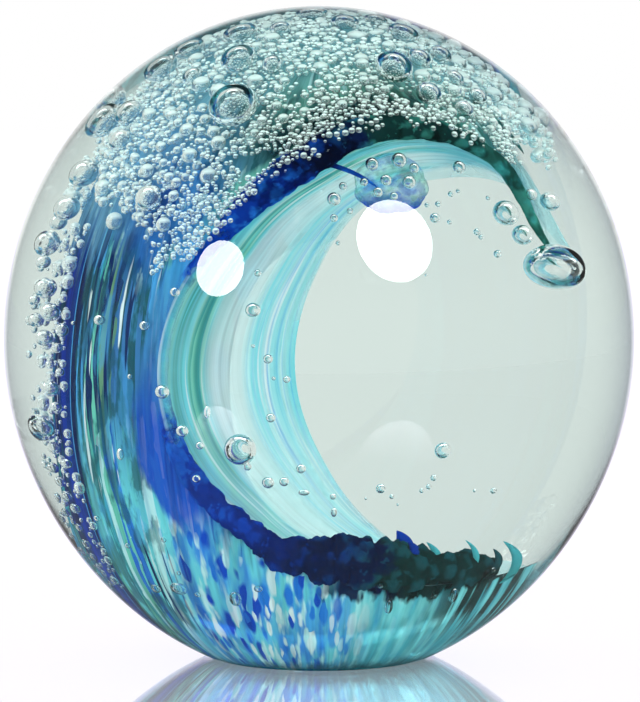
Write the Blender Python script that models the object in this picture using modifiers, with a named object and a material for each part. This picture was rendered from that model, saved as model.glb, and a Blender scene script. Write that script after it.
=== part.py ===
"""A glass wave paperweight, built as a glassmaker builds one, gather over gather.

Metres, +Z up. The origin is the centre of the polished foot, and the viewer stands at -Y.
A coloured egg of glass, the heart, rises from the foot. A hollow, the curl, is pressed through it
from the front and the right. What is left of the heart is the wave: its wall on the left, its crest
above, and the sea below. Trails of coloured glass line the curl and the back of the wave, ropes of
dark frit follow its front rim, and froth covers its crest. A gather of clear glass fills the curl,
and a last one makes the ball.

The heart is laid out on a unit sphere: u to the right, v to the rear, w up.
"""

import math

import bmesh
import bpy
from mathutils import Vector, noise

MM = 0.001

# The ball, turned on its own axis, with a ground and polished foot
BALL_RADIUS = 40.0 * MM
GIRTH_HEIGHT = 40.4 * MM
CROWN_HEIGHT = 82.8 * MM
FOOT_RADIUS = 13.85 * MM
DROP_POWER = 1.93  # of the round below the girth: an ellipse has 2, and this is a little leaner
FOOT_BEVEL = 0.5 * MM

# The heart, the coloured egg inside the ball
CLEAR_WALL = 17.0 * MM
CLEAR_CROWN = 13.8 * MM
HEART_SHIFT = 0.5 * MM
HEART_DROP = 4.4 * MM  # from the ball's girth down to the heart's
FOOT_RING = 0.9 * MM  # clear glass between the colour and the foot's edge

# Pieces that meet keep this gap
GAP = 0.3 * MM
TRAIL_GAP = 0.45 * MM  # between neighbouring trails, whose edges run aslant

# The curl: where its axis crosses the unit sphere's middle plane, and its reach from there at each
# 30 degrees, from the right over the top and round, on a front plane and on a rear plane
CURL_AXIS = (0.33, 0.026)
FRONT_PLANE, REAR_PLANE = -0.65, 0.70
CURL_FRONT = (1.17, 0.86, 0.86, 0.79, 0.75, 0.87, 1.04, 0.74, 0.55, 0.52, 0.63, 0.94)
CURL_REAR = (0.80, 0.48, 0.45, 0.42, 0.43, 0.46, 0.50, 0.42, 0.37, 0.37, 0.41, 0.72)
CURL_BOW = 0.25  # how much the wall bows between the two planes
CURL_END = 1.2  # the curl runs out of the sphere to this, front and rear
CURL_MIDDLE = (CURL_AXIS[0], 0.0, CURL_AXIS[1])

# Trails that line the curl, front to rear: share of the wall where each ends, and its colour
FACE_THICK = 1.2 * MM
FACE_SET = 2.0 * MM  # from the rims to the first and last trail
FACE_GRID = (2, 20)  # faces across a trail and along it
LIP_ANGLE, SHORE_ANGLE = 36.0, 298.0  # where the lining starts at the lip and ends at the sea
FACE_TRAILS = (
    ("face_trail_teal", 0.16, (0.05, 0.30, 0.33)),
    ("face_trail_jade", 0.30, (0.12, 0.50, 0.50)),
    ("face_trail_aqua", 0.45, (0.30, 0.72, 0.76)),
    ("face_trail_pale", 0.62, (0.62, 0.88, 0.92)),
    ("face_trail_turquoise", 0.80, (0.25, 0.68, 0.80)),
    ("face_trail_ice", 1.00, (0.55, 0.86, 0.93)),
)

# Trails up the back of the wave: the turn where each ends, in degrees round the heart's middle,
# 0 at the left and 90 at the rear. The curl cuts the first ones and the last ones short.
BACK_THICK = 1.2 * MM
BACK_GRID = (3, 10)
SEA_LEVEL = -0.464  # w where the trails rise out of the sea
CREST_LEVEL = 0.398  # w where the crest starts
BACK_START = -88.0
BACK_TRAILS = (
    ("back_trail_shore", -50.0, (0.03, 0.16, 0.50)),
    ("back_trail_blue", -36.0, (0.05, 0.22, 0.60)),
    ("back_trail_jade", -20.0, (0.10, 0.42, 0.48)),
    ("back_trail_cobalt", -4.0, (0.02, 0.08, 0.45)),
    ("back_trail_navy", 12.0, (0.01, 0.04, 0.22)),
    ("back_trail_teal", 30.0, (0.05, 0.34, 0.42)),
    ("back_trail_azure", 50.0, (0.10, 0.42, 0.75)),
    ("back_trail_aqua", 72.0, (0.25, 0.66, 0.74)),
    ("back_trail_sky", 96.0, (0.40, 0.74, 0.88)),
    ("back_trail_ice", 124.0, (0.55, 0.84, 0.92)),
)

# The crest's own glass, in two parts that meet over the middle of the curl
CREST_SPLIT = 4.0 * MM
CREST_COLOURS = {"crest_cap_blue": (0.10, 0.36, 0.66), "crest_cap_jade": (0.16, 0.50, 0.50)}

# Ropes of frit along the front rim, one after another: the angle where each ends, its radius where it
# starts and in its middle. It runs out to the radius that the next one starts with.
ROPE_START = 31.0
ROPES = (
    ("crest_emerald_band", 103.6, 0.6 * MM, 1.4 * MM, (0.01, 0.07, 0.06)),
    ("crest_cobalt_band", 152.5, 1.9 * MM, 1.4 * MM, (0.01, 0.04, 0.40)),
    ("left_rim_trail", 186.5, 0.8 * MM, 0.6 * MM, (0.03, 0.14, 0.36)),
    ("trough_cobalt_ridge", 237.8, 0.7 * MM, 1.0 * MM, (0.01, 0.04, 0.32)),
    ("trough_emerald_ridge", 308.0, 1.4 * MM, 1.9 * MM, (0.01, 0.08, 0.07)),
)
ROPE_TIP = 1.0 * MM  # the last one's radius at its end
ROPE_SPLIT = 0.4 * MM  # between neighbours, along the rim
ROPE_PROUD = 0.15  # share of its radius that a rope stands out into the curl
ROPE_STEP = 5.0  # degrees between its points
ROPE_ENDS = 0.9  # room past its two ends, in degrees
SECTION_STEPS = 2  # in a quarter of its section
BERTH = 2.0  # gaps between a rope and the inner gather, which would end in splinters with one

# The drip that hangs from the crest into the curl
DRIP_ANGLE = 90.0
DRIP_LENGTH = 5.6 * MM
DRIP_RADIUS = 2.3 * MM
DRIP_DRAW = 0.38  # how much of that is lost at the top
DRIP_GRID = (12, 9)

# Froth over the crest, and its tail of bubbles down the left
FROTH_THICK = 1.5 * MM
FROTH_LIFT = 0.5 * MM  # above the skin, more than the gap because its facets cut across the round
FROTH_START, FROTH_END = 33.0, 214.0
FROTH_FULL = 156.0  # past this angle it narrows to the tail
FROTH_TAIL = (0.32, 0.42)  # shares of the wall's breadth that the tail ends between
FROTH_PINCH = 5  # how suddenly
FROTH_MARGIN = 0.03  # from the heart's rims, in radians about its middle
FROTH_BUBBLE = 2.6 * MM  # spacing of the swellings on it
FROTH_SWELL = 0.62  # reach of a swelling, in spacings
FROTH_THIN = 0.45  # share of the thickness that is left between them
FROTH_ALONG, FROTH_ACROSS = 32, 15
ROOM_ALONG, ROOM_ACROSS = 21, 10
ROOM_ANGLE = 2.0  # room beyond its two ends, in degrees about the curl's axis
ROOM_SIDE = 0.9 * MM  # room beside it
ROOM_TOP = 0.8 * MM  # room above it

# Large bubbles trapped between the inner gather and the casing: place on the unit sphere, radius
BUBBLES = (
    (0.93, 0.32, 2.4 * MM),
    (0.79, 0.50, 1.0 * MM),
    (0.84, 0.42, 0.8 * MM),
    (-0.36, -0.14, 1.6 * MM),
    (0.54, -0.14, 0.8 * MM),
    (-0.31, 0.25, 0.7 * MM),
)

BALL_STEPS = 32
BALL_RINGS = 10
EGG_STEPS = 28
EGG_RINGS = 14
CURL_STEPS = 28
CURL_RINGS = 7


def ball_radius(height):
    """The ball's radius at a height above the foot."""
    if height > GIRTH_HEIGHT:
        share = (height - GIRTH_HEIGHT) / (CROWN_HEIGHT - GIRTH_HEIGHT)
        return BALL_RADIUS * math.sqrt(max(0.0, 1.0 - share * share))
    fallen = (1.0 - height / GIRTH_HEIGHT) ** DROP_POWER
    lost = 1.0 - (FOOT_RADIUS / BALL_RADIUS) ** DROP_POWER
    return BALL_RADIUS * (1.0 - fallen * lost) ** (1.0 / DROP_POWER)


HEART_RADIUS = BALL_RADIUS - CLEAR_WALL
HEART_HEIGHT = GIRTH_HEIGHT - HEART_DROP
HEART_FOOT = FOOT_RADIUS - FOOT_BEVEL - FOOT_RING


def egg_terms():
    """How the heart's height grows with w: once with w itself, and once with its square."""
    rise = CROWN_HEIGHT - CLEAR_CROWN - HEART_HEIGHT
    foot = -math.sqrt(1.0 - (HEART_FOOT / HEART_RADIUS) ** 2)
    square = (-HEART_HEIGHT - rise * foot) / (foot * foot - foot)
    return rise - square, square


EGG_SLOPE, EGG_SQUARE = egg_terms()


def place(u, v, w):
    """The real place of a point of the unit sphere's space."""
    height = HEART_HEIGHT + EGG_SLOPE * w + EGG_SQUARE * w * w
    return Vector((HEART_SHIFT + HEART_RADIUS * u, HEART_RADIUS * v, height))


def outward(u, v, w):
    """The heart's own normal at a point of the unit sphere."""
    stretch = EGG_SLOPE + 2.0 * EGG_SQUARE * w
    return Vector((u / HEART_RADIUS, v / HEART_RADIUS, w / stretch)).normalized()


def mix(first, second, share):
    return first + (second - first) * share


def round_curve(shares, angle):
    """A smooth closed curve through evenly spaced values, read at an angle in degrees."""
    count = len(shares)
    place_on = (angle % 360.0) / 360.0 * count
    step, part = int(place_on), place_on % 1.0
    before, here, after, later = (shares[(step + k) % count] for k in (-1, 0, 1, 2))
    bend = 2.0 * before - 5.0 * here + 4.0 * after - later
    end = 3.0 * (here - after) + later - before
    return here + 0.5 * part * (after - before + part * (bend + part * end))


def curl_reach(angle, v):
    """How far the curl's wall lies from its axis, at an angle and a depth."""
    share = (v - FRONT_PLANE) / (REAR_PLANE - FRONT_PLANE)
    if share < 0.0:
        bowed = share * (1.0 + CURL_BOW)
    elif share > 1.0:
        bowed = 1.0 + (share - 1.0) * (1.0 - CURL_BOW)
    else:
        bowed = share + CURL_BOW * share * (1.0 - share)
    return mix(round_curve(CURL_FRONT, angle), round_curve(CURL_REAR, angle), bowed)


def heart_reach(angle, v):
    """How far the heart's skin lies from the curl's axis, at an angle and a depth."""
    along = CURL_AXIS[0] * math.cos(math.radians(angle)) + CURL_AXIS[1] * math.sin(math.radians(angle))
    inside = 1.0 - v * v - CURL_AXIS[0] ** 2 - CURL_AXIS[1] ** 2
    return math.sqrt(max(0.0, along * along + inside)) - along


def polar(angle, v, reach):
    """A point of the unit space at an angle and a reach from the curl's axis."""
    turn = math.radians(angle)
    return CURL_AXIS[0] + reach * math.cos(turn), v, CURL_AXIS[1] + reach * math.sin(turn)


def halving(holds, sure, unsure):
    """The last value between the two for which the test holds."""
    for _ in range(40):
        middle = mix(sure, unsure, 0.5)
        if holds(middle):
            sure = middle
        else:
            unsure = middle
    return sure


def rim_depth(angle, side):
    """The depth at which the curl's wall meets the heart's skin, in front (-1) or behind (+1)."""
    reach = math.sqrt(1.0 - CURL_AXIS[0] ** 2 - CURL_AXIS[1] ** 2)
    return halving(lambda v: heart_reach(angle, v) > curl_reach(angle, v), 0.0, side * reach)


def face_point(angle, share, aside=0.0):
    """A point on the curl's wall, a share of the way between the rims and a little aside of it."""
    inset = FACE_SET / HEART_RADIUS
    v = mix(rim_depth(angle, -1) + inset, rim_depth(angle, 1) - inset, share) + aside / HEART_RADIUS
    return place(*polar(angle, v, curl_reach(angle, v)))


def back_point(w, turn, aside=0.0):
    """A point on the wave's back, at a height and a turn and a little aside of it."""
    ring = math.sqrt(1.0 - w * w)
    at = math.radians(turn) + aside / (ring * HEART_RADIUS)
    return place(-ring * math.cos(at), ring * math.sin(at), w)


def froth_point(angle, share, margin=0.0):
    """A point on the heart's skin under the froth, or under a broader froth with a margin in radians."""
    front = math.asin(rim_depth(angle, -1)) + FROTH_MARGIN
    rear = math.asin(rim_depth(angle, 1)) - FROTH_MARGIN
    past = max(0.0, min(1.0, (angle - FROTH_FULL) / (FROTH_END - FROTH_FULL)))
    narrow = 1.0 - (1.0 - past) ** FROTH_PINCH
    low, high = FROTH_TAIL[0] * narrow, mix(1.0, FROTH_TAIL[1], narrow)
    v = math.sin(mix(front, rear, mix(low, high, share)) + margin * (2.0 * share - 1.0))
    return place(*polar(angle, v, heart_reach(angle, v)))


def glass(name, colour, alpha=1.0):
    """A plain glass of one colour."""
    material = bpy.data.materials.new(name)
    material.use_nodes = True
    shader = material.node_tree.nodes["Principled BSDF"]
    shader.inputs["Base Color"].default_value = (*colour, 1.0)
    shader.inputs["Roughness"].default_value = 0.03
    shader.inputs["Metallic"].default_value = 0.0
    shader.inputs["IOR"].default_value = 1.5
    shader.inputs["Alpha"].default_value = alpha
    material.diffuse_color = (*colour, alpha)
    return material


def collection(name):
    group = bpy.data.collections.new(name)
    bpy.context.scene.collection.children.link(group)
    return group


def add(name, data, group):
    thing = bpy.data.objects.new(name, data)
    group.objects.link(thing)
    return thing


def mesh_object(name, bm, group, smooth=True):
    """An object from a bmesh, its faces turned outward where it is closed."""
    mesh = bpy.data.meshes.new(name)
    bm.to_mesh(mesh)
    bm.free()
    if smooth:
        mesh.shade_smooth()
    return add(name, mesh, group)


def as_cutter(thing):
    thing.hide_render = True
    thing.display_type = "WIRE"
    return thing


def swell(bm, distance):
    """Moves every point out along its normal."""
    bm.normal_update()
    moves = [(vertex, vertex.normal * distance) for vertex in bm.verts]
    for vertex, move in moves:
        vertex.co += move


def slice_off(bm, at, above, axis=2):
    """Cuts a body flat across an axis and drops what lies above, or what lies below."""
    geometry = bm.verts[:] + bm.edges[:] + bm.faces[:]
    spot, normal = Vector(), Vector()
    spot[axis], normal[axis] = at, 1.0
    bmesh.ops.bisect_plane(
        bm, geom=geometry, plane_co=spot, plane_no=normal, clear_outer=above, clear_inner=not above
    )
    bmesh.ops.holes_fill(bm, edges=[edge for edge in bm.edges if edge.is_boundary])


def egg(outset=0.0):
    """The heart's whole form, grown or shrunk."""
    bm = bmesh.new()
    bmesh.ops.create_uvsphere(bm, u_segments=EGG_STEPS, v_segments=EGG_RINGS, radius=1.0)
    for vertex in bm.verts:
        vertex.co = place(*vertex.co)
    swell(bm, outset)
    return bm


def curl_body(outset=0.0):
    """The curl as a body: a loft of round sections from front to rear, grown or shrunk."""
    bm = bmesh.new()
    rings = []
    for ring in range(CURL_RINGS + 1):
        v = mix(-CURL_END, CURL_END, ring / CURL_RINGS)
        angles = [360.0 * step / CURL_STEPS for step in range(CURL_STEPS)]
        points = [place(*polar(angle, v, curl_reach(angle, v))) for angle in angles]
        rings.append([bm.verts.new(point) for point in points])
    for near, far in zip(rings, rings[1:]):
        for k in range(CURL_STEPS):
            bm.faces.new((near[k - 1], near[k], far[k], far[k - 1]))
    bm.faces.new(rings[0])
    bm.faces.new(rings[-1])
    bmesh.ops.recalc_face_normals(bm, faces=bm.faces)
    swell(bm, outset)
    return bm


def skin(name, point, along, across, thick, group, lift=0.0, weights=None):
    """A sheet of glass laid on the surface point(x, y), x and y from 0 to 1, thickened away from the
    wave's middle, or towards it where thick is under zero."""
    bm = bmesh.new()
    bmesh.ops.create_grid(bm, x_segments=along, y_segments=across, size=0.5)
    spots = [(vertex.co.x + 0.5, vertex.co.y + 0.5) for vertex in bm.verts]
    for vertex, (x, y) in zip(bm.verts, spots):
        vertex.co = point(x, y)
    bm.normal_update()
    middle = place(*CURL_MIDDLE)
    if sum((face.calc_center_median() - middle).dot(face.normal) for face in bm.faces) < 0.0:
        bmesh.ops.reverse_faces(bm, faces=bm.faces)
    if lift:
        swell(bm, lift)
    sheet = mesh_object(name, bm, group)
    solidify = sheet.modifiers.new("thickness", "SOLIDIFY")
    solidify.thickness = abs(thick)
    solidify.offset = math.copysign(1.0, thick)
    if weights:
        group_of = sheet.vertex_groups.new(name="swelling")
        for index, vertex in enumerate(sheet.data.vertices):
            group_of.add([index], weights(vertex.co), "REPLACE")
        solidify.vertex_group = group_of.name
        solidify.thickness_vertex_group = 0.0
    return sheet


def cut(thing, cutters, operation="DIFFERENCE"):
    for cutter in cutters:
        boolean = thing.modifiers.new(cutter.name, "BOOLEAN")
        boolean.operation = operation
        boolean.object = cutter
        boolean.solver = "EXACT"


def paint(thing, name, colour, alpha=1.0):
    thing.data.materials.append(glass(name, colour, alpha))
    return thing


class Rope:
    """A tube of frit along the front rim, between two angles, that swells and thins."""

    def __init__(self, name, start, end, radii, colour):
        self.name, self.start, self.end = name, start, end
        self.radii, self.colour = radii, colour

    def radius(self, angle):
        first, middle, last = self.radii
        share = (angle - self.start) / (self.end - self.start)
        ends = first * (1.0 - share) * (1.0 - 2.0 * share) + last * share * (2.0 * share - 1.0)
        return ends + 4.0 * middle * share * (1.0 - share)

    def centre(self, angle):
        """The tube's middle, sunk from the rim until its round touches the heart's skin."""
        v = rim_depth(angle, -1)
        rim = polar(angle, v, curl_reach(angle, v))
        turn = math.radians(angle)
        sunk = -outward(*rim) - ROPE_PROUD * Vector((math.cos(turn), 0.0, math.sin(turn)))
        return place(*rim) + self.radius(angle) * sunk

    def split(self, angle):
        """Half the space between neighbours, as an angle."""
        reach = HEART_RADIUS * curl_reach(angle, rim_depth(angle, -1))
        return math.degrees(0.5 * ROPE_SPLIT / reach)

    def stations(self):
        """Its points along the rim, each an angle and the rope that it belongs to."""
        first, last = self.start + self.split(self.start), self.end - self.split(self.end)
        count = math.ceil((last - first) / ROPE_STEP)
        return [(mix(first, last, k / count), self) for k in range(count + 1)]


def lay_ropes():
    ropes = []
    start = ROPE_START
    next_radii = [row[2] for row in ROPES[1:]] + [ROPE_TIP]
    for (name, end, first, middle, colour), last in zip(ROPES, next_radii):
        ropes.append(Rope(name, start, end, (first, middle, last), colour))
        start = end
    return ropes


def rim_stations(ropes):
    """The points of all the ropes, and one past each end."""
    inner = [station for rope in ropes for station in rope.stations()]
    (first_angle, first), (last_angle, last) = inner[0], inner[-1]
    return [(first_angle - ROPE_ENDS, first), *inner, (last_angle + ROPE_ENDS, last)]


def tube(name, stations, group, spare=0.0):
    """A tube through points on the rim, as an object, with something to spare round it."""
    curve = bpy.data.curves.new(name, "CURVE")
    curve.dimensions = "3D"
    curve.bevel_depth = MM
    curve.bevel_resolution = SECTION_STEPS
    curve.use_fill_caps = True
    spline = curve.splines.new("POLY")
    spline.points.add(len(stations) - 1)
    for spot, (angle, rope) in zip(spline.points, stations):
        spot.co = (*rope.centre(angle), 1.0)
        spot.radius = (rope.radius(angle) + spare) / MM
    return solid_of_curve(add(name, curve, group), group)


def solid_of_curve(curve_object, group):
    """A curve object made a closed mesh object of the same name."""
    name = curve_object.name
    graph = bpy.context.evaluated_depsgraph_get()
    mesh = bpy.data.meshes.new_from_object(curve_object.evaluated_get(graph))
    bpy.data.objects.remove(curve_object)
    bm = bmesh.new()
    bm.from_mesh(mesh)
    bmesh.ops.remove_doubles(bm, verts=bm.verts, dist=0.001 * MM)
    bmesh.ops.recalc_face_normals(bm, faces=bm.faces)
    return mesh_object(name, bm, group)


def drip_body(crest, spare=0.0):
    """A drop that hangs from the crest's rope, with a drawn-out neck."""
    bm = bmesh.new()
    bmesh.ops.create_uvsphere(bm, u_segments=DRIP_GRID[0], v_segments=DRIP_GRID[1], radius=1.0)
    top = crest.centre(DRIP_ANGLE) - Vector((0.0, 0.0, crest.radius(DRIP_ANGLE) + GAP))
    for vertex in bm.verts:
        height = 0.5 * (vertex.co.z + 1.0)
        draw = DRIP_RADIUS * (1.0 - DRIP_DRAW * height)
        drop = DRIP_LENGTH * (height - 1.0)
        vertex.co = top + Vector((draw * vertex.co.x, draw * vertex.co.y, drop))
    swell(bm, spare)
    return bm


def ball_body():
    """The clear ball: a turned profile with its polished foot."""
    rows = [(0.0, CROWN_HEIGHT)]
    for k in range(1, BALL_RINGS + 1):
        turn = 0.5 * math.pi * k / BALL_RINGS
        rows.append((BALL_RADIUS * math.sin(turn), mix(GIRTH_HEIGHT, CROWN_HEIGHT, math.cos(turn))))
    for k in range(1, BALL_RINGS):
        height = GIRTH_HEIGHT * (1.0 - math.sin(0.5 * math.pi * k / BALL_RINGS))
        rows.append((ball_radius(height), height))
    rows.append((ball_radius(FOOT_BEVEL), FOOT_BEVEL))
    rows.append((FOOT_RADIUS - FOOT_BEVEL, 0.0))
    rows.append((0.0, 0.0))
    mesh = bpy.data.meshes.new("clear_casing")
    mesh.from_pydata([(x, 0.0, z) for x, z in rows], [(k, k + 1) for k in range(len(rows) - 1)], [])
    return mesh


def turned(thing):
    """Turns an object's profile into a body."""
    screw = thing.modifiers.new("turned", "SCREW")
    screw.steps = screw.render_steps = BALL_STEPS
    screw.use_merge_vertices = True
    screw.merge_threshold = 0.01 * MM
    screw.use_smooth_shade = True


def build():
    for old in list(bpy.data.objects):
        bpy.data.objects.remove(old)
    parts = collection("glass_wave_paperweight")
    cutters = collection("cutters")

    def cutter(name, bm):
        return as_cutter(mesh_object(name, bm, cutters, smooth=False))

    lining = FACE_THICK + GAP
    curl_outer = cutter("curl_outer", curl_body(lining))
    heart = cutter("heart", egg())
    heart_room = cutter("heart_room", egg(GAP))
    heart_core = cutter("heart_core", egg(-BACK_THICK))
    ropes = lay_ropes()
    rope_room = as_cutter(tube("rope_room", rim_stations(ropes), cutters, GAP))
    rope_berth = as_cutter(tube("rope_berth", rim_stations(ropes), cutters, BERTH * GAP))
    for each in ropes:
        paint(tube(each.name, each.stations(), parts), each.name, each.colour)

    drip_room = cutter("drip_room", drip_body(ropes[0], GAP))
    drip = mesh_object("lip_drip", drip_body(ropes[0]), parts)
    paint(drip, "lip_drip", (0.03, 0.20, 0.45))

    first = 0.0
    for name, last, colour in FACE_TRAILS:

        def face_spot(x, y, ends=(first, last)):
            aside = TRAIL_GAP * (0.5 - x)
            return face_point(mix(LIP_ANGLE, SHORE_ANGLE, y), mix(*ends, x), aside)

        trail = skin(name, face_spot, *FACE_GRID, FACE_THICK, parts)
        cut(trail, [heart], "INTERSECT")
        cut(trail, [rope_room])
        paint(trail, name, colour)
        first = last

    sea_height = place(0.0, 0.0, SEA_LEVEL).z
    crest_height = place(0.0, 0.0, CREST_LEVEL).z
    crest_foot = CREST_LEVEL - GAP / (EGG_SLOPE + 2.0 * EGG_SQUARE * CREST_LEVEL)
    first = BACK_START
    for name, last, colour in BACK_TRAILS:

        def back_spot(x, y, ends=(first, last)):
            aside = TRAIL_GAP * (0.5 - x)
            return back_point(mix(SEA_LEVEL, crest_foot, y), mix(*ends, x), aside)

        trail = skin(name, back_spot, *BACK_GRID, -BACK_THICK, parts)
        cut(trail, [curl_outer, rope_room])
        paint(trail, name, colour)
        first = last

    core_bm = egg(-BACK_THICK - GAP)
    slice_off(core_bm, sea_height, above=False)
    core = mesh_object("wave_core", core_bm, parts)
    cut(core, [curl_outer, rope_room])
    paint(core, "wave_core", (0.35, 0.72, 0.80), 0.6)

    for name, colour in CREST_COLOURS.items():
        cap_bm = egg()
        slice_off(cap_bm, crest_height, above=False)
        left = name == "crest_cap_blue"
        split = CREST_SPLIT - 0.5 * GAP if left else CREST_SPLIT + 0.5 * GAP
        slice_off(cap_bm, split, above=left, axis=0)
        cap = mesh_object(name, cap_bm, parts)
        cut(cap, [heart_core, curl_outer, rope_room])
        paint(cap, name, colour)

    def froth_spot(x, y):
        return froth_point(mix(FROTH_START, FROTH_END, y), x)

    def room_spot(x, y):
        angle = mix(FROTH_START - ROOM_ANGLE, FROTH_END + ROOM_ANGLE, y)
        return froth_point(angle, x, ROOM_SIDE / HEART_RADIUS)

    def swelling(spot):
        nearest = noise.voronoi(spot / FROTH_BUBBLE)[0][0] / FROTH_SWELL
        return mix(FROTH_THIN, 1.0, math.sqrt(max(0.0, 1.0 - nearest * nearest)))

    froth = skin(
        "crest_froth", froth_spot, FROTH_ACROSS, FROTH_ALONG, FROTH_THICK, parts, FROTH_LIFT, swelling
    )
    paint(froth, "crest_froth", (0.85, 0.93, 0.94), 0.6)
    deep = FROTH_LIFT + FROTH_THICK + ROOM_TOP
    froth_room = as_cutter(
        skin("froth_room", room_spot, ROOM_ACROSS, ROOM_ALONG, deep, cutters, -GAP)
    )

    bubbles = []
    for index, (u, w, radius) in enumerate(BUBBLES):
        bubble_bm = bmesh.new()
        bmesh.ops.create_icosphere(bubble_bm, subdivisions=2, radius=radius)
        middle = place(u, -math.sqrt(1.0 - u * u - w * w), w)
        bmesh.ops.translate(bubble_bm, verts=bubble_bm.verts, vec=middle)
        bubbles.append(cutter(f"bubble_{index + 1}", bubble_bm))

    sea_bm = egg()
    slice_off(sea_bm, sea_height - GAP, above=True)
    slice_off(sea_bm, 0.0, above=False)
    sea = mesh_object("sea_base", sea_bm, parts)
    cut(sea, [curl_outer, rope_room])
    paint(sea, "sea_base", (0.06, 0.35, 0.62))

    gather = mesh_object("inner_gather", curl_body(-GAP), parts)
    cut(gather, [heart], "INTERSECT")
    cut(gather, [rope_berth, drip_room, *bubbles])
    paint(gather, "inner_gather", (0.86, 0.93, 0.92), 0.25)

    casing = add("clear_casing", ball_body(), parts)
    turned(casing)
    cut(casing, [heart_room, froth_room, *bubbles])
    paint(casing, "clear_casing", (0.88, 0.95, 0.94), 0.25)


build()
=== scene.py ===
"""The looks of the glass wave paperweight: a clear ball that bends the light, with a wave of streaked
coloured glass and thousands of air bubbles inside it.

Metres, +Z up, the viewer at -Y. The heart, the coloured egg inside the ball, is laid out on a unit
sphere: u to the right, v to the rear, w up. The curl is the hollow pressed through it along v, and a
place on the wave is given by its angle about the curl's axis, from the right over the top, and by v.
"""

import itertools
import math
import random

import bmesh
import bpy
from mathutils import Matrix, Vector, noise


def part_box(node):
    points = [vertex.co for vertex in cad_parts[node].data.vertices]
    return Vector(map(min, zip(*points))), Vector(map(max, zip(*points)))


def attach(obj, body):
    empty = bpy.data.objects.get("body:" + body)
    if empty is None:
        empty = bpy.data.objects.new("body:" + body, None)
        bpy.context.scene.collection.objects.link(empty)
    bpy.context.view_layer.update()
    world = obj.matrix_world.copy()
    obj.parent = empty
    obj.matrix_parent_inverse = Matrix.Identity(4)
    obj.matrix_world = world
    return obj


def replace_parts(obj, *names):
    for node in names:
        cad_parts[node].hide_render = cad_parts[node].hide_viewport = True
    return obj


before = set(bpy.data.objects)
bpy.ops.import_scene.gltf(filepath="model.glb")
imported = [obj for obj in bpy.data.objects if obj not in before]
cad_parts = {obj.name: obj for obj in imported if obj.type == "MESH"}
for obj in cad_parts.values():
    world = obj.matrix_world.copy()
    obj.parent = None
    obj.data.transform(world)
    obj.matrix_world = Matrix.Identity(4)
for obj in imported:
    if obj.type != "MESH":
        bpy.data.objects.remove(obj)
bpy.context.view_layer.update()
BODY = "root"
MM = 0.001

# The ball
BALL_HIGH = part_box("clear_casing")[1]
BALL_RADIUS = BALL_HIGH.x
CROWN_HEIGHT = BALL_HIGH.z
GIRTH_HEIGHT = 40.4 * MM
FOOT_RADIUS = 13.85 * MM
DROP_POWER = 1.93
FOOT_BEVEL = 0.5 * MM
BEVEL_TURNS = (0.3, 0.6, 0.9, 1.2)
BALL_STEPS, BALL_RINGS = 224, 96

# The heart and the curl, as the solids have them
CLEAR_WALL = 17.0 * MM
CLEAR_CROWN = 13.8 * MM
HEART_SHIFT = 0.5 * MM
HEART_DROP = 4.4 * MM
FOOT_RING = 0.9 * MM
CURL_AXIS = (0.33, 0.026)
FRONT_PLANE, REAR_PLANE = -0.65, 0.70
CURL_FRONT = (1.17, 0.86, 0.86, 0.79, 0.75, 0.87, 1.04, 0.74, 0.55, 0.52, 0.63, 0.94)
CURL_REAR = (0.80, 0.48, 0.45, 0.42, 0.43, 0.46, 0.50, 0.42, 0.37, 0.37, 0.41, 0.72)
CURL_BOW = 0.25
SEA_LEVEL, CREST_LEVEL = -0.464, 0.398
CREST_SPLIT = 4.0 * MM
LIP_ANGLE, SHORE_ANGLE = 31.0, 308.0
DEPTH_LIMIT, DEPTH_STEPS = 0.96, 120

# Index of glass, and of air as a ray inside the glass meets it
GLASS_INDEX = 1.5
AIR_IN_GLASS = 1.0 / GLASS_INDEX


def linear(*srgb):
    """A colour written as a screen shows it, 0 to 255, in the linear numbers that shaders use."""
    shares = (value / 255.0 for value in srgb)
    return tuple(s / 12.92 if s <= 0.04045 else ((s + 0.055) / 1.055) ** 2.4 for s in shares)


def grey(level):
    return (level, level, level)


NAVY = linear(10, 40, 96)
COBALT = linear(10, 74, 200)
INDIGO = linear(8, 56, 146)
BLUE = linear(38, 124, 226)
AZURE = linear(84, 176, 240)
SKY = linear(150, 206, 228)
DENIM = linear(62, 124, 182)
TEAL = linear(60, 168, 174)
DEEP_TEAL = linear(30, 92, 104)
JADE = linear(124, 214, 190)
PALE_JADE = linear(150, 226, 200)
GREEN_SHADE = linear(80, 170, 156)
OLIVE = linear(112, 160, 124)
FOREST = linear(46, 84, 74)
EMERALD = linear(16, 52, 52)
EMERALD_EDGE = linear(60, 140, 130)
AQUA = linear(120, 222, 232)
AQUA_DEEP = linear(84, 190, 206)
TURQUOISE = linear(140, 230, 242)
UNDERSIDE = linear(130, 205, 222)
PALE = linear(210, 248, 250)
WHITE = linear(246, 253, 254)
FOAM = linear(240, 250, 248)
ROPE_BLUE = linear(10, 52, 150)
ROPE_NAVY = linear(8, 28, 70)
BALL_TINT, BALL_TINT_DEEP = (0.65, 0.75, 0.71), (0.63, 0.735, 0.695)
BALL_EDGE_SHADE = (0.30, 0.37, 0.42)
AIR_TINT = (0.97, 0.98, 0.98)
FLOOR_GLOSS = (0.90, 0.87, 1.0)

# The faint cords in the ball's glass: noise per metre, and its height
CORD_SCALE, CORD_HEIGHT = 40.0, 0.02 * MM


def mix(first, second, share):
    return first + (second - first) * share


def clamp(share):
    return max(0.0, min(1.0, share))


def ball_radius(height):
    """The ball's radius at a height between its foot and its girth."""
    fallen = (1.0 - height / GIRTH_HEIGHT) ** DROP_POWER
    lost = 1.0 - (FOOT_RADIUS / BALL_RADIUS) ** DROP_POWER
    return BALL_RADIUS * (1.0 - fallen * lost) ** (1.0 / DROP_POWER)


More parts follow.
